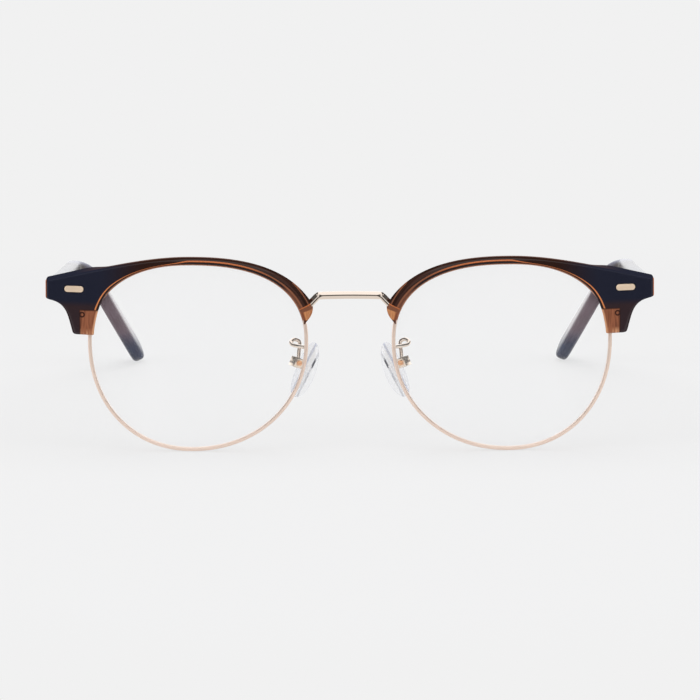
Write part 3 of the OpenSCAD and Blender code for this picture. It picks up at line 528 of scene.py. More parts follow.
def temple_stations():
    """Middle, drop angle, twist, height and thickness along the temple, as in the part's source.

    It runs straight to the bend, round an arc and straight on to the tip, and is lifted so that
    its lowest point stands on the floor. The height swells as a quarter sine towards the paddle,
    and height and thickness end at the tip as quarter ellipses.
    """
    f = np.linspace(0, 1, 70)
    k = np.linspace(0, 1, 40)[1:]
    blade = TAIL_LEN - TIP_ROUND
    s = joined(np.linspace(0, blade, 50)[1:],
               blade + TIP_ROUND * np.sin(np.radians(np.linspace(3, 90, 30))))
    lean = np.radians(TAIL_LEAN)
    up = np.array([np.sin(lean), 0, np.cos(lean)])
    a = np.radians(BEND_START + (TAIL_DROP - BEND_START) * k)
    a0, a1 = np.radians(BEND_START), np.radians(TAIL_DROP)
    bend = columns(BEND_R * (np.sin(a) - np.sin(a0)), -BEND_R * (np.cos(a0) - np.cos(a)))
    tail = bend[-1] + s[:, None] * np.array([np.cos(a1), -np.sin(a1)])
    place = joined(bend, tail)
    share = joined(ease(k), np.ones_like(s))
    along = joined(0 * k, s)
    drop = joined(a, np.full_like(s, a1))
    x = TEMPLE_X + TEMPLE_OUT - BEND_IN * share - along * np.cos(a1) * np.tan(np.radians(TAIL_TURN))
    rear = columns(x, BEND_Y + place[:, 0], 0 * x) + place[:, 1:] * up

    def tip(length):
        """Share of the full size over the last length of the tail, a quarter ellipse."""
        return np.sqrt(np.maximum(0.004, 1 - (np.maximum(0, s - TAIL_LEN + length) / length) ** 2))

    swell = np.sin(np.pi / 2 * np.minimum(1, s / blade))
    paddle = tip(TIP_ROUND) * (WAIST_H + (PADDLE_H - WAIST_H) * swell)
    high = joined(WAIST_H + 0 * k, paddle)
    thick = joined(TAIL_T + 0 * k, TAIL_T * tip(TIP_THIN))
    lift = -lowest_of(rear, drop, np.radians(TAIL_TWIST) * share, high, thick)
    rear[:, 2] += lift
    straight = columns(TEMPLE_X + TEMPLE_OUT * f, TEMPLE_Y + (BEND_Y - TEMPLE_Y) * f,
                       TEMPLE_Z + (lift - TEMPLE_Z) * f)
    middle = joined(straight, rear)
    drop = joined(a0 * f**6, drop)
    twist = joined(0 * f, np.radians(TAIL_TWIST) * share)
    high = joined(TEMPLE_H - (TEMPLE_H - WAIST_H) * ease(f), high)
    thick = joined(TEMPLE_T - (TEMPLE_T - TAIL_T) * ease(f), thick)
    return middle, drop, twist, high, thick


def temple_rings(middle, drop, twist, high, thick):
    """Superellipse sections, leaned by the twist and standing square to the drop."""
    out = columns(np.cos(twist), 0 * twist, -np.sin(twist))
    up = columns(np.sin(twist), 0 * twist, np.cos(twist))
    rise = np.sin(drop)[:, None] * np.array([0, 1, 0]) + np.cos(drop)[:, None] * up
    prof = section(TEMPLE_SIDES, TEMPLE_SQUARE, 1, 1)
    return (middle[:, None] + (thick[:, None] * prof[:, 0])[..., None] * out[:, None]
            + (high[:, None] * prof[:, 1])[..., None] * rise[:, None])


def lowest_of(*stations):
    """Height of the lowest point of the rings."""
    return temple_rings(*stations)[..., 2].min()


def temple(side):
    """The rings joined to a skin, with a rounded front edge and a seat cut for the hinge's leaf."""
    rings = temple_rings(*temple_stations())
    middle = rings[0].mean(0)
    first = [middle + share * (rings[0] - middle) + [0, behind, 0] for share, behind in TEMPLE_END]
    rings = joined(first, rings[1:])
    made = grid_mesh("acetate_temple_" + side, rings, side=SIDES[side])
    low, high = node_box("temple_hinge_left")
    seat = box_cutter((LEAF_IN, LEAF_FRONT, low[2] - SEAT_GAP),
                      (high[0] - LEAF_OUT, high[1] + SEAT_GAP, high[2] + SEAT_GAP), side)
    take_out(made, seat)
    sharpen(made, ACETATE_SHARP)
    return made


# Nose pads and their arms

def turn_about(axis, degrees):
    """Rotation matrix about a main axis."""
    return np.array(Matrix.Rotation(np.radians(degrees), 3, axis))


PAD_FRAME = turn_about("Z", -PAD_TURN) @ turn_about("Y", -PAD_SPLAY)


def in_pad_frame(points):
    """From the pad's own frame to the front's."""
    return points @ PAD_FRAME.T + PAD_AT


# Points along the pad and round it, the share of its half thickness on the nose's side, the powers
# that flatten its section and its ends, and how far its face curves back
PAD_ROWS, PAD_SIDES, PAD_FACE, PAD_FLAT, PAD_BLUNT, PAD_BEND = 60, 48, 0.8, 0.8, 0.7, 0.35


def nose_pad(side):
    """An oval cushion: a bulged face to the nose, a flatter one behind, pinched at both ends.

    Along the pad v runs from -1 to 1 as a cosine. The width goes with sqrt(1 - v^2), drawn wider
    below, and the thickness with a power of it, so that the ends close.
    """
    v = -np.cos(np.linspace(0.02, np.pi - 0.02, PAD_ROWS))
    k = np.sqrt(1 - v * v)
    wide = PAD_W * (1 - PAD_DROP * v)
    a = np.arange(PAD_SIDES) * 2 * np.pi / PAD_SIDES
    c, s = np.cos(a), np.sin(a)
    depth = np.where(c > 0, PAD_FACE, 1.0) * np.sign(c) * np.abs(c) ** PAD_FLAT
    x = PAD_T / 2 * k[:, None] ** PAD_BLUNT * depth
    y = -wide[:, None] / 2 * k[:, None] * s
    z = PAD_LEN / 2 * v[:, None] + 0 * x
    # the face curves back a little towards its ends, as a pad that lies on a nose does
    x = x + PAD_BEND * v[:, None] ** 2
    points = columns(x - TAB_LEN - PAD_T / 2, y, z - PAD_HANG)
    return grid_mesh("clear_pad_" + side, in_pad_frame(points), side=SIDES[side])


# The arm's line as shares of its reach, and the thickness of its wire
ARM_SHAPE = np.array([(0.08, 0.17, 0.87), (0.51, 0.44, 0.84), (0.95, 0.69, 0.87), (1, 0.8, 0.93),
                      (0.7, 0.95, 1), (0.46, 1, 0.87), (0.47, 0.98, 0.67), (0.51, 0.9, 0.4),
                      (0.54, 0.85, 0.16)])
ARM_WIRE = 0.87


def pad_arm(side):
    """A circle carried along a smooth line from the rim, back in a loop and down to the box."""
    line = smooth_line(ARM_SHAPE * ARM_REACH + [NOSE_GAP / 2, 0, PAD_AT[2]], 110)
    wire = section(20, 2.0, ARM_WIRE, ARM_WIRE)
    return grid_mesh("wire_arm_" + side, sweep(line, (1.0, 0.0, 0.0), wire), side=SIDES[side])


# Small turned and milled pieces: the solid's own mesh with its edges broken

def finished(node, width):
    """A copy of the node's mesh with its triangles joined and its sharp edges rounded by width."""
    mesh = nodes[node].data.copy()
    mesh.name = node + "_finished"
    work = bmesh.new()
    work.from_mesh(mesh)
    bmesh.ops.remove_doubles(work, verts=work.verts, dist=1e-6)
    bmesh.ops.dissolve_limit(work, angle_limit=np.radians(1), verts=work.verts, edges=work.edges)
    work.to_mesh(mesh)
    work.free()
    made = new_object(node + "_finished", mesh)
    bevel = made.modifiers.new("broken edges", "BEVEL")
    bevel.width, bevel.segments = width / 1000, 3
    bevel.limit_method, bevel.angle_limit = "ANGLE", np.radians(METAL_SHARP)
    keep_modified(made)
    sharpen(made, METAL_SHARP)
    return made


# Materials

class Recipe:
    """The steps of one node tree. A node's output and a plain value go into a step alike."""

    def __init__(self, tree):
        self.tree = tree

    def give(self, node, inputs):
        """Links outputs to the node's inputs, or sets them to plain values."""
        for key, value in inputs.items():
            if isinstance(value, bpy.types.NodeSocket):
                self.tree.links.new(value, node.inputs[key])
            else:
                node.inputs[key].default_value = value

    def add(self, kind, inputs=None, **settings):
        """A new node with its settings and inputs."""
        node = self.tree.nodes.new(kind)
        for key, value in settings.items():
            setattr(node, key, value)
        self.give(node, inputs or {})
        return node

    def maths(self, how, *values):
        """One Math node over the values."""
        return self.add("ShaderNodeMath", dict(enumerate(values)), operation=how).outputs[0]

    def plus(self, a, b):
        """a + b"""
        return self.maths("ADD", a, b)

    def minus(self, a, b):
        """a - b"""
        return self.maths("SUBTRACT", a, b)

    def most(self, a, b):
        """The greater of a and b."""
        return self.maths("MAXIMUM", a, b)

    def times(self, first, *others):
        """The product. Of masks, it is the place that all of them cover."""
        for other in others:
            first = self.maths("MULTIPLY", first, other)
        return first

    def size(self, value):
        """The value without its sign."""
        return self.maths("ABSOLUTE", value)

    def squares(self, a, b):
        """a * a + b * b"""
        return self.plus(self.times(a, a), self.times(b, b))

    def ranged(self, source, low, high, start=0.0, end=1.0, how="LINEAR"):
        """From start at low to end at high, and no further on either side."""
        reach = {"Value": source, "From Min": low, "From Max": high, "To Min": start, "To Max": end}
        return self.add("ShaderNodeMapRange", reach, interpolation_type=how).outputs["Result"]

    def span(self, source, low, high):
        """0 below low, 1 above high, smooth between."""
        return self.ranged(source, low, high, how="SMOOTHSTEP")

    def below(self, source, low, high):
        """1 below low, 0 above high, smooth between."""
        return self.minus(1.0, self.span(source, low, high))

    def near(self, source, middle, reach):
        """1 at the middle value, 0 further away than the reach, smooth between."""
        return self.below(self.size(self.minus(source, middle)), 0.6 * reach, reach)

    def parts(self, vector):
        """The x, y and z of a vector."""
        return self.add("ShaderNodeSeparateXYZ", {"Vector": vector}).outputs

    def noise(self, at, scale, detail=2.0):
        """Soft clouds, about 0.5 in the middle."""
        look = {"Vector": at, "Scale": scale, "Detail": detail}
        return self.add("ShaderNodeTexNoise", look).outputs["Fac"]

    def streaks(self, at, scale, detail=2.0):
        """Noise with its own scale on each axis."""
        drawn = self.add("ShaderNodeMapping", {"Vector": at, "Scale": scale})
        return self.noise(drawn.outputs["Vector"], 1.0, detail)

    def mixed(self, factor, a, b):
        """Colour a turned to colour b by the factor."""
        return self.add("ShaderNodeMix", {0: factor, 6: a, 7: b}, data_type="RGBA").outputs[2]

    def painted(self, colour, *coats):
        """The colour with coats of (mask, colour) over it, one after the other."""
        for mask, coat in coats:
            colour = self.mixed(mask, colour, coat)
        return colour


def new_material(name):
    """A node material, its Principled shader and its recipe."""
    made = bpy.data.materials.new(name)
    made.use_nodes = True
    return made, made.node_tree.nodes["Principled BSDF"], Recipe(made.node_tree)


def srgb(r, g, b):
    """A colour as the eye's 0 to 255 values, made linear."""
    v = np.array([r, g, b]) / 255
    return tuple(np.where(v <= 0.04045, v / 12.92, ((v + 0.055) / 1.055) ** 2.4)) + (1.0,)


def handling_group():
    """Node group for scratches and smudges: noise is the height, and goes from smooth to rough."""
    tree = bpy.data.node_groups.new("handling", "ShaderNodeTree")
    sockets = {"INPUT": ("Scale", "Smooth", "Rough"), "OUTPUT": ("Roughness", "Height")}
    for way, labels in sockets.items():
        for label in labels:
            tree.interface.new_socket(label, in_out=way, socket_type="NodeSocketFloat")
    recipe = Recipe(tree)
    given = recipe.add("NodeGroupInput").outputs
    at = recipe.add("ShaderNodeTexCoord").outputs["Object"]
    marks = recipe.noise(at, given["Scale"], 4.0)
    rough = recipe.ranged(marks, 0.35, 0.7, given["Smooth"], given["Rough"])
    recipe.add("NodeGroupOutput", {"Roughness": rough, "Height": marks})
    return tree


HANDLING = handling_group()
# Depth of the marks in metres, and how fine they are on metal and on acetate
MARK_DEPTH, METAL_MARKS, ACETATE_MARKS = 0.00002, 1400.0, 700.0


def add_handling(recipe, shader, scale, smooth, rough, bump):
    """Roughness from the handling group, and a faint bump."""
    marks = recipe.add("ShaderNodeGroup", {"Scale": scale, "Smooth": smooth, "Rough": rough},
                       node_tree=HANDLING).outputs
    recipe.give(shader, {"Roughness": marks["Roughness"]})
    if bump:
        relief = recipe.add("ShaderNodeBump", {"Strength": bump, "Distance": MARK_DEPTH,
                                               "Height": marks["Height"]})
        recipe.give(shader, {"Normal": relief.outputs["Normal"]})


# Height in metres up to which the rim is bare at the brow's leg, how much higher that is at its
# nose end, and the distances from the mirror plane between which it changes
BARE_UP, NOSE_END_UP, BARE_TURN = LEG_LOW / 1000, 0.0033, (0.03, 0.04)


def metal(name, colour, smooth, rough, bump=0.05, metallic=1.0, shaded=None):
    """Plated metal: noise takes up to 7 % off its one warm colour, with handling marks over it.

    Where the brows cover it, it takes the shaded colour, if one is given.
    """
    made, shader, recipe = new_material(name)
    at = recipe.add("ShaderNodeTexCoord").outputs["Object"]
    darker = tuple(0.93 * c for c in colour[:3]) + (1.0,)
    result = recipe.mixed(recipe.noise(at, 160.0), colour, darker)
    if shaded is not None:
        x, _, z = recipe.parts(at)
        nose_side = recipe.below(recipe.size(x), *BARE_TURN)
        height = recipe.minus(z, recipe.times(nose_side, NOSE_END_UP))
        covered = recipe.span(height, BARE_UP - 0.0003, BARE_UP + 0.0003)
        result = recipe.mixed(covered, result, shaded)
    recipe.give(shader, {"Base Color": result, "Metallic": metallic})
    add_handling(recipe, shader, METAL_MARKS, smooth, rough, bump)
    return made


# Colours of the acetate
NAVY, BROWN, LEG_BROWN = srgb(33, 35, 48), srgb(42, 24, 18), srgb(50, 38, 41)
# the first of these is painted shade for the dark lip at the lens's edge, and copper and glow also
# paint the bright line of light along that edge
LIP_SHADE, COPPER, GLOW = srgb(40, 30, 30), srgb(184, 106, 64), srgb(206, 128, 78)
LAYER_BROWN, NOSE_BROWN, OUTER_LINE = srgb(62, 40, 34), srgb(108, 68, 52), srgb(118, 74, 54)
# the first of these is painted light on the rear of the brow's top face, and the second a dimmer
# painted light along the lens's edge near the nose
TOP_LIGHT_BROWN, LINE_DULL = srgb(108, 82, 74), srgb(132, 84, 62)
# the amber colours paint the light that shows through the acetate where it is thin
AMBER, AMBER_DEEP, AMBER_PALE = srgb(148, 92, 66), srgb(114, 69, 51), srgb(206, 150, 112)
# the second of these is painted shade round the edges of the amber wall
SCREW_DARK, FRAME_SHADE = srgb(58, 34, 28), srgb(44, 28, 26)
TIP_CLEAR, TIP_DEEP, TIP_BROWN = srgb(198, 136, 90), srgb(162, 104, 70), srgb(122, 78, 58)
TIP_LIP, TIP_EDGE = srgb(128, 74, 50), srgb(84, 50, 36)
# the last of these is a painted sheen on the top of the temple's bend
TIP_SLATE, TAIL_BROWN, BEND_SHEEN_GREY = srgb(36, 44, 74), srgb(102, 82, 90), srgb(98, 96, 116)
DRIFT_BROWN = srgb(50, 34, 36)

# Places in metres: the outer and upper end of the amber wall over the pocket, and its screw
WINDOW_X, WINDOW_Z = 0.0616, POCKET_TOP / 1000
SCREW_X, SCREW_Z, SCREW_RING = 0.0612, 0.0316, 0.0005
# Shares of the way to the nose end at which its clear part starts and its lower edge lies
TIP_FROM, TIP_END = 0.905, 0.985
EAR_FRONT = (float(ball_y(EAR_X, PLATE_Z, BROW_FRONT)) - MIDDLE_Y) / 1000
BALL_FRONT = (float(ball_y(CURVE_X, CURVE_Z, BROW_FRONT)) - MIDDLE_Y) / 1000


def acetate_brow_material():
    """Dark acetate, with the light that shows through it painted amber where it is thin: over the
    pocket, at the nose end and at the lens.

    Each colour is painted in coats, and a coat's mask is a product of smooth steps. They go by the
    place, by the distance from the lens's edge in millimetres and by the share of the way from the
    leg's end to the nose end. Fine upright streaks run through the amber.
    """
    made, shader, recipe = new_material("brow_acetate")
    span, below, near, times = recipe.span, recipe.below, recipe.near, recipe.times
    at = recipe.add("ShaderNodeTexCoord").outputs
    x, y, z = recipe.parts(at["Object"])
    x = recipe.size(x)
    own = recipe.add("ShaderNodeUVMap", uv_map="across").outputs["UV"]
    edge, along, _ = recipe.parts(own)

    # the body is blue-black outwards and brown inwards, with layers and lines near the nose, and
    # painted light on the rear of the top face
    outer = span(x, 0.046, 0.058)
    leg = times(outer, below(z, 0.0332, 0.0349))
    sheet = recipe.add("ShaderNodeCombineXYZ", {"X": times(edge, 2.4), "Y": times(along, 5.0)})
    layers = span(recipe.noise(sheet.outputs["Vector"], 1.0), 0.46, 0.62)
    nose_lip = times(below(edge, 0.8, 1.1), below(x, 0.0135, 0.0165))
    nose_line = times(near(edge, 2.3, 0.14), below(x, 0.0128, 0.014))
    # painted light: the rear of the up-facing top face is lighter, found by its depth behind the
    # ball of the front
    _, _, upward = recipe.parts(at["Normal"])
    bulge = recipe.squares(recipe.minus(x, CURVE_X / 1000), recipe.minus(z, CURVE_Z / 1000))
    behind = recipe.minus(recipe.minus(y, BALL_FRONT), times(bulge, 500 / CURVE_R))
    lit_top_rear = times(span(upward, 0.5, 0.8), span(x, 0.018, 0.03), below(x, 0.044, 0.064),
                     span(behind, 0.0019, 0.0026))
    end_edge = times(span(x, EAR_X / 1000 - 0.0004, EAR_X / 1000 - 0.0001),
                     below(y, EAR_FRONT + 0.0016, EAR_FRONT + 0.0019))
    body = recipe.painted(
        recipe.mixed(outer, BROWN, NAVY), (leg, LEG_BROWN),
        (times(layers, below(x, 0.014, 0.028)), LAYER_BROWN), (nose_lip, NOSE_BROWN),
        (nose_line, OUTER_LINE), (lit_top_rear, TOP_LIGHT_BROWN), (end_edge, COPPER))

    # painted light: the amber wall over the pocket, lit through where it is thin, with the screw as
    # a dark ring
    grain = span(recipe.streaks(at["Object"], (3000.0, 3000.0, 140.0), 3.0), 0.35, 0.7)
    leg_end = times(below(z, LEG_LOW / 1000 + 0.0003, LEG_LOW / 1000 + 0.0016), grain)
    off = recipe.squares(recipe.minus(x, SCREW_X), recipe.minus(z, SCREW_Z))
    ring = near(recipe.maths("SQRT", off), SCREW_RING, 0.00022)
    amber = recipe.painted(
        recipe.mixed(grain, AMBER, AMBER_DEEP), (leg_end, AMBER_PALE),
        (below(edge, 0.15, 0.55), AMBER_PALE), (ring, SCREW_DARK))

    # the clear nose end, darker at its lip, at its lower edge and where it starts
    tip = recipe.painted(
        recipe.mixed(grain, TIP_CLEAR, TIP_DEEP), (below(edge, 0.35, 0.75), TIP_LIP),
        (span(along, TIP_END - 0.004, TIP_END), TIP_EDGE),
        (below(along, TIP_FROM + 0.013, TIP_FROM + 0.019), TIP_BROWN))

    # painted light and shade: a bright line of light through the thin bevel and a dark lip of
    # painted shade run along the lens's edge, and a dark frame of painted shade runs round the
    # amber wall
    line = recipe.mixed(span(x, 0.016, 0.026), LINE_DULL, COPPER)
    lip = recipe.mixed(below(x, 0.0132, 0.0158), LIP_SHADE, NOSE_BROWN)
    inside = below(x, WINDOW_X, WINDOW_X + 0.0002)
    under = below(z, WINDOW_Z, WINDOW_Z + 0.0003)
    leg_side = span(x, 0.050, 0.051)
    window = times(inside, under, leg_side)
    upright = times(near(x, WINDOW_X + 0.0001, 0.00022), under)
    level = times(near(z, WINDOW_Z + 0.00015, 0.00022), inside, leg_side)
    colour = recipe.painted(
        body, (near(edge, 0.73, 0.2), recipe.mixed(outer, line, GLOW)),
        (below(edge, 0.44, 0.53), lip), (span(along, TIP_FROM, TIP_FROM + 0.001), tip),
        (near(along, TIP_FROM, 0.0012), COPPER), (window, amber),
        (times(recipe.most(upright, level), 0.6), FRAME_SHADE))

    # seen aslant the acetate stays dark, as its edges do in the photograph
    aslant = recipe.add("ShaderNodeLayerWeight", {"Blend": 0.5}).outputs["Facing"]
    recipe.give(shader, {"Base Color": colour, "IOR": 1.45,
                         "Specular IOR Level": times(below(aslant, 0.25, 0.6), 0.3)})
    add_handling(recipe, shader, ACETATE_MARKS, 0.05, 0.16, 0.02)
    return made


def acetate_temple_material():
    """Dark acetate, blue-black in front and brown behind, with faint drifts in the colour.

    Smooth steps over y and z paint the tail brown, its lower end slate and the top of the bend
    grey, a painted sheen of the bright sky.
    """
    made, shader, recipe = new_material("temple_acetate")
    at = recipe.add("ShaderNodeTexCoord").outputs
    _, y, z = recipe.parts(at["Object"])
    _, _, upward = recipe.parts(at["Normal"])
    drift = recipe.span(recipe.streaks(at["Object"], (260.0, 70.0, 260.0)), 0.4, 0.7)
    lower_end = recipe.times(recipe.below(z, 0.0042, 0.0112), recipe.span(y, 0.02, 0.045))
    bend_top_sheen = recipe.times(recipe.span(upward, 0.1, 0.6), recipe.span(y, 0.01, 0.026),
                            recipe.below(y, 0.03, 0.042))
    body = recipe.painted(
        recipe.mixed(recipe.span(y, -0.045, 0.02), NAVY, BROWN),
        (recipe.span(y, 0.028, 0.046), TAIL_BROWN), (lower_end, TIP_SLATE),
        (bend_top_sheen, BEND_SHEEN_GREY), (recipe.times(drift, 0.25), DRIFT_BROWN))
    gloss = recipe.plus(0.08, recipe.times(recipe.span(upward, 0.1, 0.5), 0.25))
    recipe.give(shader, {"Base Color": body, "IOR": 1.48, "Specular Tint": (0.64, 0.75, 1.0, 1),
                         "Specular IOR Level": gloss})
    add_handling(recipe, shader, ACETATE_MARKS, 0.18, 0.22, 0.0)
    return made


def lens_material():
    """A clear lens: a hardly visible veil of haze, and more gloss where it is seen aslant."""
    made, shader, recipe = new_material("lens_clear")
    mirror = recipe.add("ShaderNodeFresnel", {"IOR": 1.5}).outputs["Fac"]
    haze = recipe.noise(recipe.add("ShaderNodeTexCoord").outputs["Object"], 40.0)
    alpha = recipe.plus(recipe.ranged(mirror, 0.03, 0.6, 0.0, 0.5),
                        recipe.ranged(haze, 0.3, 0.7, 0.015, 0.03))
    recipe.give(shader, {"Base Color": (0.93, 0.96, 0.98, 1), "Roughness": 0.02, "Alpha": alpha})
    return made


# The line down the pad's nose side: x + PAD_SLOPE z = PAD_LINE, in metres
PAD_SLOPE, PAD_LINE = 0.51, 0.0182
# the white is a painted highlight, and the shade and the dark one are painted reflections on the
# pad
PAD_GREY, PAD_PALE, PAD_HIGHLIGHT = srgb(214, 219, 236), srgb(246, 248, 253), srgb(252, 253, 255)
PAD_SHADE, PAD_DARK_REFLECTION = srgb(180, 184, 204), srgb(50, 52, 66)


def pad_material():
    """Clear soft plastic: a faint bluish veil, denser where it is seen aslant.

    Painted reflections run along the pad as a dark, a light and a grey band, by the distance
    outwards from a line down its nose side, and the grey also lies where it is seen aslant. The
    dark one is strongest at two spots, and the veil is thin inside that line.
    """
    made, shader, recipe = new_material("pad_clear")
    near, times, most = recipe.near, recipe.times, recipe.most
    at = recipe.add("ShaderNodeTexCoord").outputs["Object"]
    x, _, z = recipe.parts(at)
    haze = recipe.streaks(at, (1500.0, 1500.0, 160.0))
    facing = recipe.add("ShaderNodeLayerWeight", {"Blend": 0.35}).outputs["Facing"]
    aslant = recipe.span(facing, 0.4, 0.75)
    out = recipe.minus(recipe.plus(recipe.size(x), times(z, PAD_SLOPE)), PAD_LINE)
    spots = most(near(z, 0.0193, 0.0012), times(near(z, 0.0159, 0.0012), 0.6))
    dark = times(near(out, 0.0, 0.00022), most(spots, 0.42))
    light, grey = near(out, 0.0008, 0.0006), near(out, 0.0016, 0.0003)
    colour = recipe.painted(
        recipe.mixed(recipe.span(haze, 0.4, 0.6), PAD_GREY, PAD_PALE), (light, PAD_HIGHLIGHT),
        (most(aslant, grey), PAD_SHADE), (dark, PAD_DARK_REFLECTION))
    thin = times(recipe.below(out, -0.0006, 0.0), recipe.below(z, 0.0205, 0.0225))
    veil = times(recipe.plus(0.16, times(aslant, 0.4)), recipe.minus(1.0, times(thin, 0.6)))
    lines = most(most(times(light, 0.5), times(grey, 0.45)), times(dark, 0.85))
    recipe.give(shader, {"Base Color": colour, "Alpha": most(veil, lines),
                         "Roughness": recipe.ranged(haze, 0.0, 1.0, 0.05, 0.12)})
    return made


ROSE_GOLD = metal("rose_gold", srgb(250, 226, 210), 0.3, 0.4, metallic=0.5)
RIM_GOLD = metal("rim_gold", srgb(250, 226, 210), 0.3, 0.4, metallic=0.5, shaded=srgb(176, 118, 88))
PALE_GOLD = metal("pale_gold", srgb(247, 231, 216), 0.05, 0.12)
SATIN_GOLD = metal("satin_gold", srgb(249, 223, 195), 0.36, 0.5, metallic=0.4)
BOX_GOLD = metal("box_gold", srgb(250, 232, 214), 0.12, 0.2, metallic=0.85)
SCREW_GOLD = metal("screw_gold", srgb(250, 190, 142), 0.12, 0.22, 0.1, metallic=0.8)
CORE_STEEL = metal("core_steel", srgb(190, 188, 182), 0.2, 0.35, 0.1)
BROW_ACETATE = acetate_brow_material()
TEMPLE_ACETATE = acetate_temple_material()
LENS_CLEAR = lens_material()
PAD_CLEAR = pad_material()


# The object

def fit(made, material, body, slot, *replaced):
    """Gives a new piece its material and body, and hides the CAD nodes that it stands for. The slot
    is not used.
    """
    made.data.materials.clear()
    made.data.materials.append(material)
    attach(made, body)
    if replaced:
        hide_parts(*replaced)


fit(bridge(), PALE_GOLD, "front", "gold_metal", "bridge")
for side in SIDES:
    fit(brow(side), BROW_ACETATE, "front", "acetate", "brow_" + side)
    fit(rim(side), RIM_GOLD, "front", "gold_metal", "rim_" + side)
    fit(lens(side), LENS_CLEAR, "front", "lens", "lens_" + side)
    fit(temple(side), TEMPLE_ACETATE, "temple_arm_" + side, "acetate", "temple_" + side)
    fit(nose_pad(side), PAD_CLEAR, "nose_rest_" + side, "pad_clear", "nose_pad_" + side)
    fit(pad_arm(side), PALE_GOLD, "front", "gold_metal", "pad_arm_" + side)

# Small pieces with broken edges: their look, body and the width of the rounding in millimetres
SMALL_LOOKS = {"pad_box": (BOX_GOLD, "front", 0.4), "rivet_plate": (SATIN_GOLD, "front", 0.1),
               "rim_lock": (ROSE_GOLD, "front", 0.15), "front_hinge": (PALE_GOLD, "front", 0.1),
               "temple_hinge": (PALE_GOLD, "temple_arm_", 0.1)}
for name, (look, body, width) in SMALL_LOOKS.items():
    for side in SIDES:
        node = name + "_" + side
        rides = body + side if body.endswith("_") else body
        fit(finished(node, width), look, rides, "gold_metal", node)

# Pieces that keep their CAD mesh, and their look
CAD_LOOKS = {"pad_insert": PALE_GOLD, "rim_screw": SCREW_GOLD, "brow_screw": SCREW_GOLD,
             "hinge_screw": SCREW_GOLD, "pad_screw": SCREW_GOLD, "core_wire": CORE_STEEL}
for name, look in CAD_LOOKS.items():
    for side in SIDES:
        data = nodes[name + "_" + side].data
        data.materials.clear()
        data.materials.append(look)


# Stage, light and camera

PAPER = srgb(241, 241, 241)
# Brightness that reflections see on the camera's side
FRONT_DARK = 0.08
# Half the floor's width, and how far under the object it lies, in metres
FLOOR_HALF, FLOOR_LOW = 6.0, 5e-5


def seen_directly(recipe, rays):
    """1 for what the camera sees, also through clear pieces."""
    return recipe.most(rays["Is Camera Ray"], rays["Is Transmission Ray"])


def either(recipe, share, first, second):
    """The first shader turned to the second by the share."""
    return recipe.add("ShaderNodeMixShader", {0: share, 1: first.outputs[0],
                                              2: second.outputs[0]})


def paper_material():
    """Pale floor: three quarters its own light and the rest lit, so that soft shadows stay.

    Away from the object it becomes all its own light. Reflections in the glasses see it dark far
    in front, pale round the glasses and brightest behind them.
    """
    made, shader, recipe = new_material("paper")
    recipe.tree.nodes.remove(shader)
    at = recipe.add("ShaderNodeTexCoord").outputs["Object"]
    _, y, _ = recipe.parts(at)
    rays = recipe.add("ShaderNodeLightPath").outputs
    glossy = rays["Is Glossy Ray"]
    mirrored = recipe.plus(recipe.ranged(y, -0.26, -0.2, FRONT_DARK, 0.9),
                           recipe.times(recipe.span(y, 0.1, 0.2), 0.7))
    strength = recipe.plus(recipe.times(glossy, mirrored), recipe.minus(1.0, glossy))
    own = recipe.add("ShaderNodeEmission", {"Color": PAPER, "Strength": strength})
    lit = recipe.add("ShaderNodeBsdfDiffuse", {"Color": (0.69, 0.69, 0.7, 1)})
    away = recipe.add("ShaderNodeVectorMath", {0: at}, operation="LENGTH").outputs["Value"]
    far = recipe.most(recipe.span(away, 0.12, 0.3), 0.75)
    share = recipe.most(recipe.times(seen_directly(recipe, rays), far), glossy)
    blend = either(recipe, share, lit, own)
    recipe.give(recipe.tree.nodes["Material Output"], {"Surface": blend.outputs[0]})
    return made


def stage_floor():
    """A wide floor. Beyond its edge the world has the same colour."""
    corners = ((-1, -1), (1, -1), (1, 1), (-1, 1))
    verts = [(x * FLOOR_HALF, y * FLOOR_HALF, -FLOOR_LOW) for x, y in corners]
    mesh = bpy.data.meshes.new("paper")
    mesh.from_pydata(verts, [], [(0, 1, 2, 3)])
    mesh.materials.append(paper_material())
    new_object("paper", mesh)


def area_light(name, at, aim, size, power):
    """A square soft light."""
    data = bpy.data.lights.new(name, "AREA")
    data.shape, data.size, data.energy = "SQUARE", size, power
    made = new_object(name, data)
    made.location = at
    made.rotation_euler = (Vector(aim) - Vector(at)).to_track_quat("-Z", "Y").to_euler()
    made.visible_glossy = False


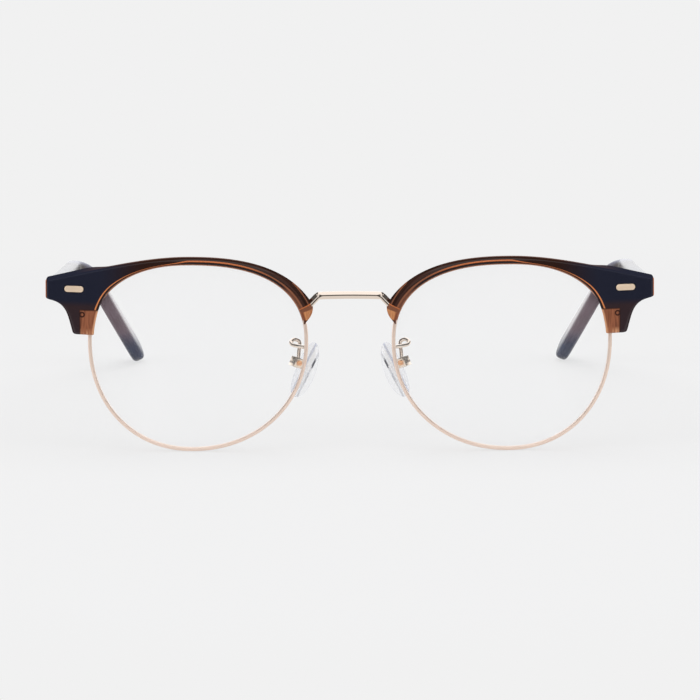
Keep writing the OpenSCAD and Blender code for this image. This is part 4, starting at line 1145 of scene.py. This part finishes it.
def studio_world():
    """Even pale light all round. Reflections see a dark band above the horizon and a bright sky.

    The camera and clear pieces see the paper's colour. The sky is dark to both sides. Behind the
    object a bright strip lies above the horizon, which makes the temples' tops pale.
    """
    world = bpy.data.worlds.new("studio")
    bpy.context.scene.world = world
    world.use_nodes = True
    recipe = Recipe(world.node_tree)
    recipe.tree.nodes.remove(recipe.tree.nodes["Background"])
    x, y, z = recipe.parts(recipe.add("ShaderNodeTexCoord").outputs["Generated"])
    sky = recipe.ranged(z, 0.14, 0.3, FRONT_DARK, 1.15)
    middle = recipe.most(recipe.below(recipe.size(x), 0.35, 0.5), FRONT_DARK)
    strip = recipe.times(recipe.below(z, 0.2, 0.28), recipe.span(y, 0.3, 0.6))
    bright = recipe.plus(recipe.times(sky, middle), recipe.times(strip, 1.5))
    lights = ((1, 1, 1, 1), 0.55), (PAPER, 1.0), ((0.97, 0.98, 1.0, 1), bright)
    fill, seen, mirror = (
        recipe.add("ShaderNodeBackground", {"Color": colour, "Strength": strength})
        for colour, strength in lights)
    rays = recipe.add("ShaderNodeLightPath").outputs
    unseen = either(recipe, rays["Is Glossy Ray"], fill, mirror)
    whole = either(recipe, seen_directly(recipe, rays), unseen, seen)
    recipe.give(recipe.tree.nodes["World Output"], {"Surface": whole.outputs[0]})


# The focal length and the width of the picture in its pixels, the sensor's width in millimetres,
# the shift as a share of that width, and the camera's degrees above the front and round its axis
FOCUS, PICTURE, SENSOR, SHIFT_UP, LIFT, ROLL = 4380, 700, 36, 0.0097, 9.0, -0.2
AIM = Vector((0, -MIDDLE_Y / 1000, 0.022))


def photo_camera():
    """A long lens 1 m from the front, a little above it, with the photograph's slight roll."""
    data = bpy.data.cameras.new("photo")
    data.sensor_width, data.lens = SENSOR, FOCUS / PICTURE * SENSOR
    data.shift_y = SHIFT_UP
    data.clip_start, data.clip_end = 0.01, 20
    made = new_object("photo", data)
    away, up = circle(LIFT)
    back = Vector((0, -away, up))
    made.location = AIM + back
    turn = (-back).to_track_quat("-Z", "Y").to_matrix().to_4x4()
    made.rotation_euler = (turn @ Matrix.Rotation(np.radians(ROLL), 4, "Z")).to_euler()
    bpy.context.scene.camera = made


stage_floor()
studio_world()
area_light("overhead", (0.0, 0.1, 1.1), (0, 0, 0), 1.2, 9.0)
area_light("left_box", (-0.9, -0.7, 0.6), (0, -0.05, 0.02), 0.7, 4.0)
area_light("right_box", (0.9, -0.7, 0.6), (0, -0.05, 0.02), 0.7, 4.0)
photo_camera()
bpy.context.scene.view_settings.view_transform = "Standard"
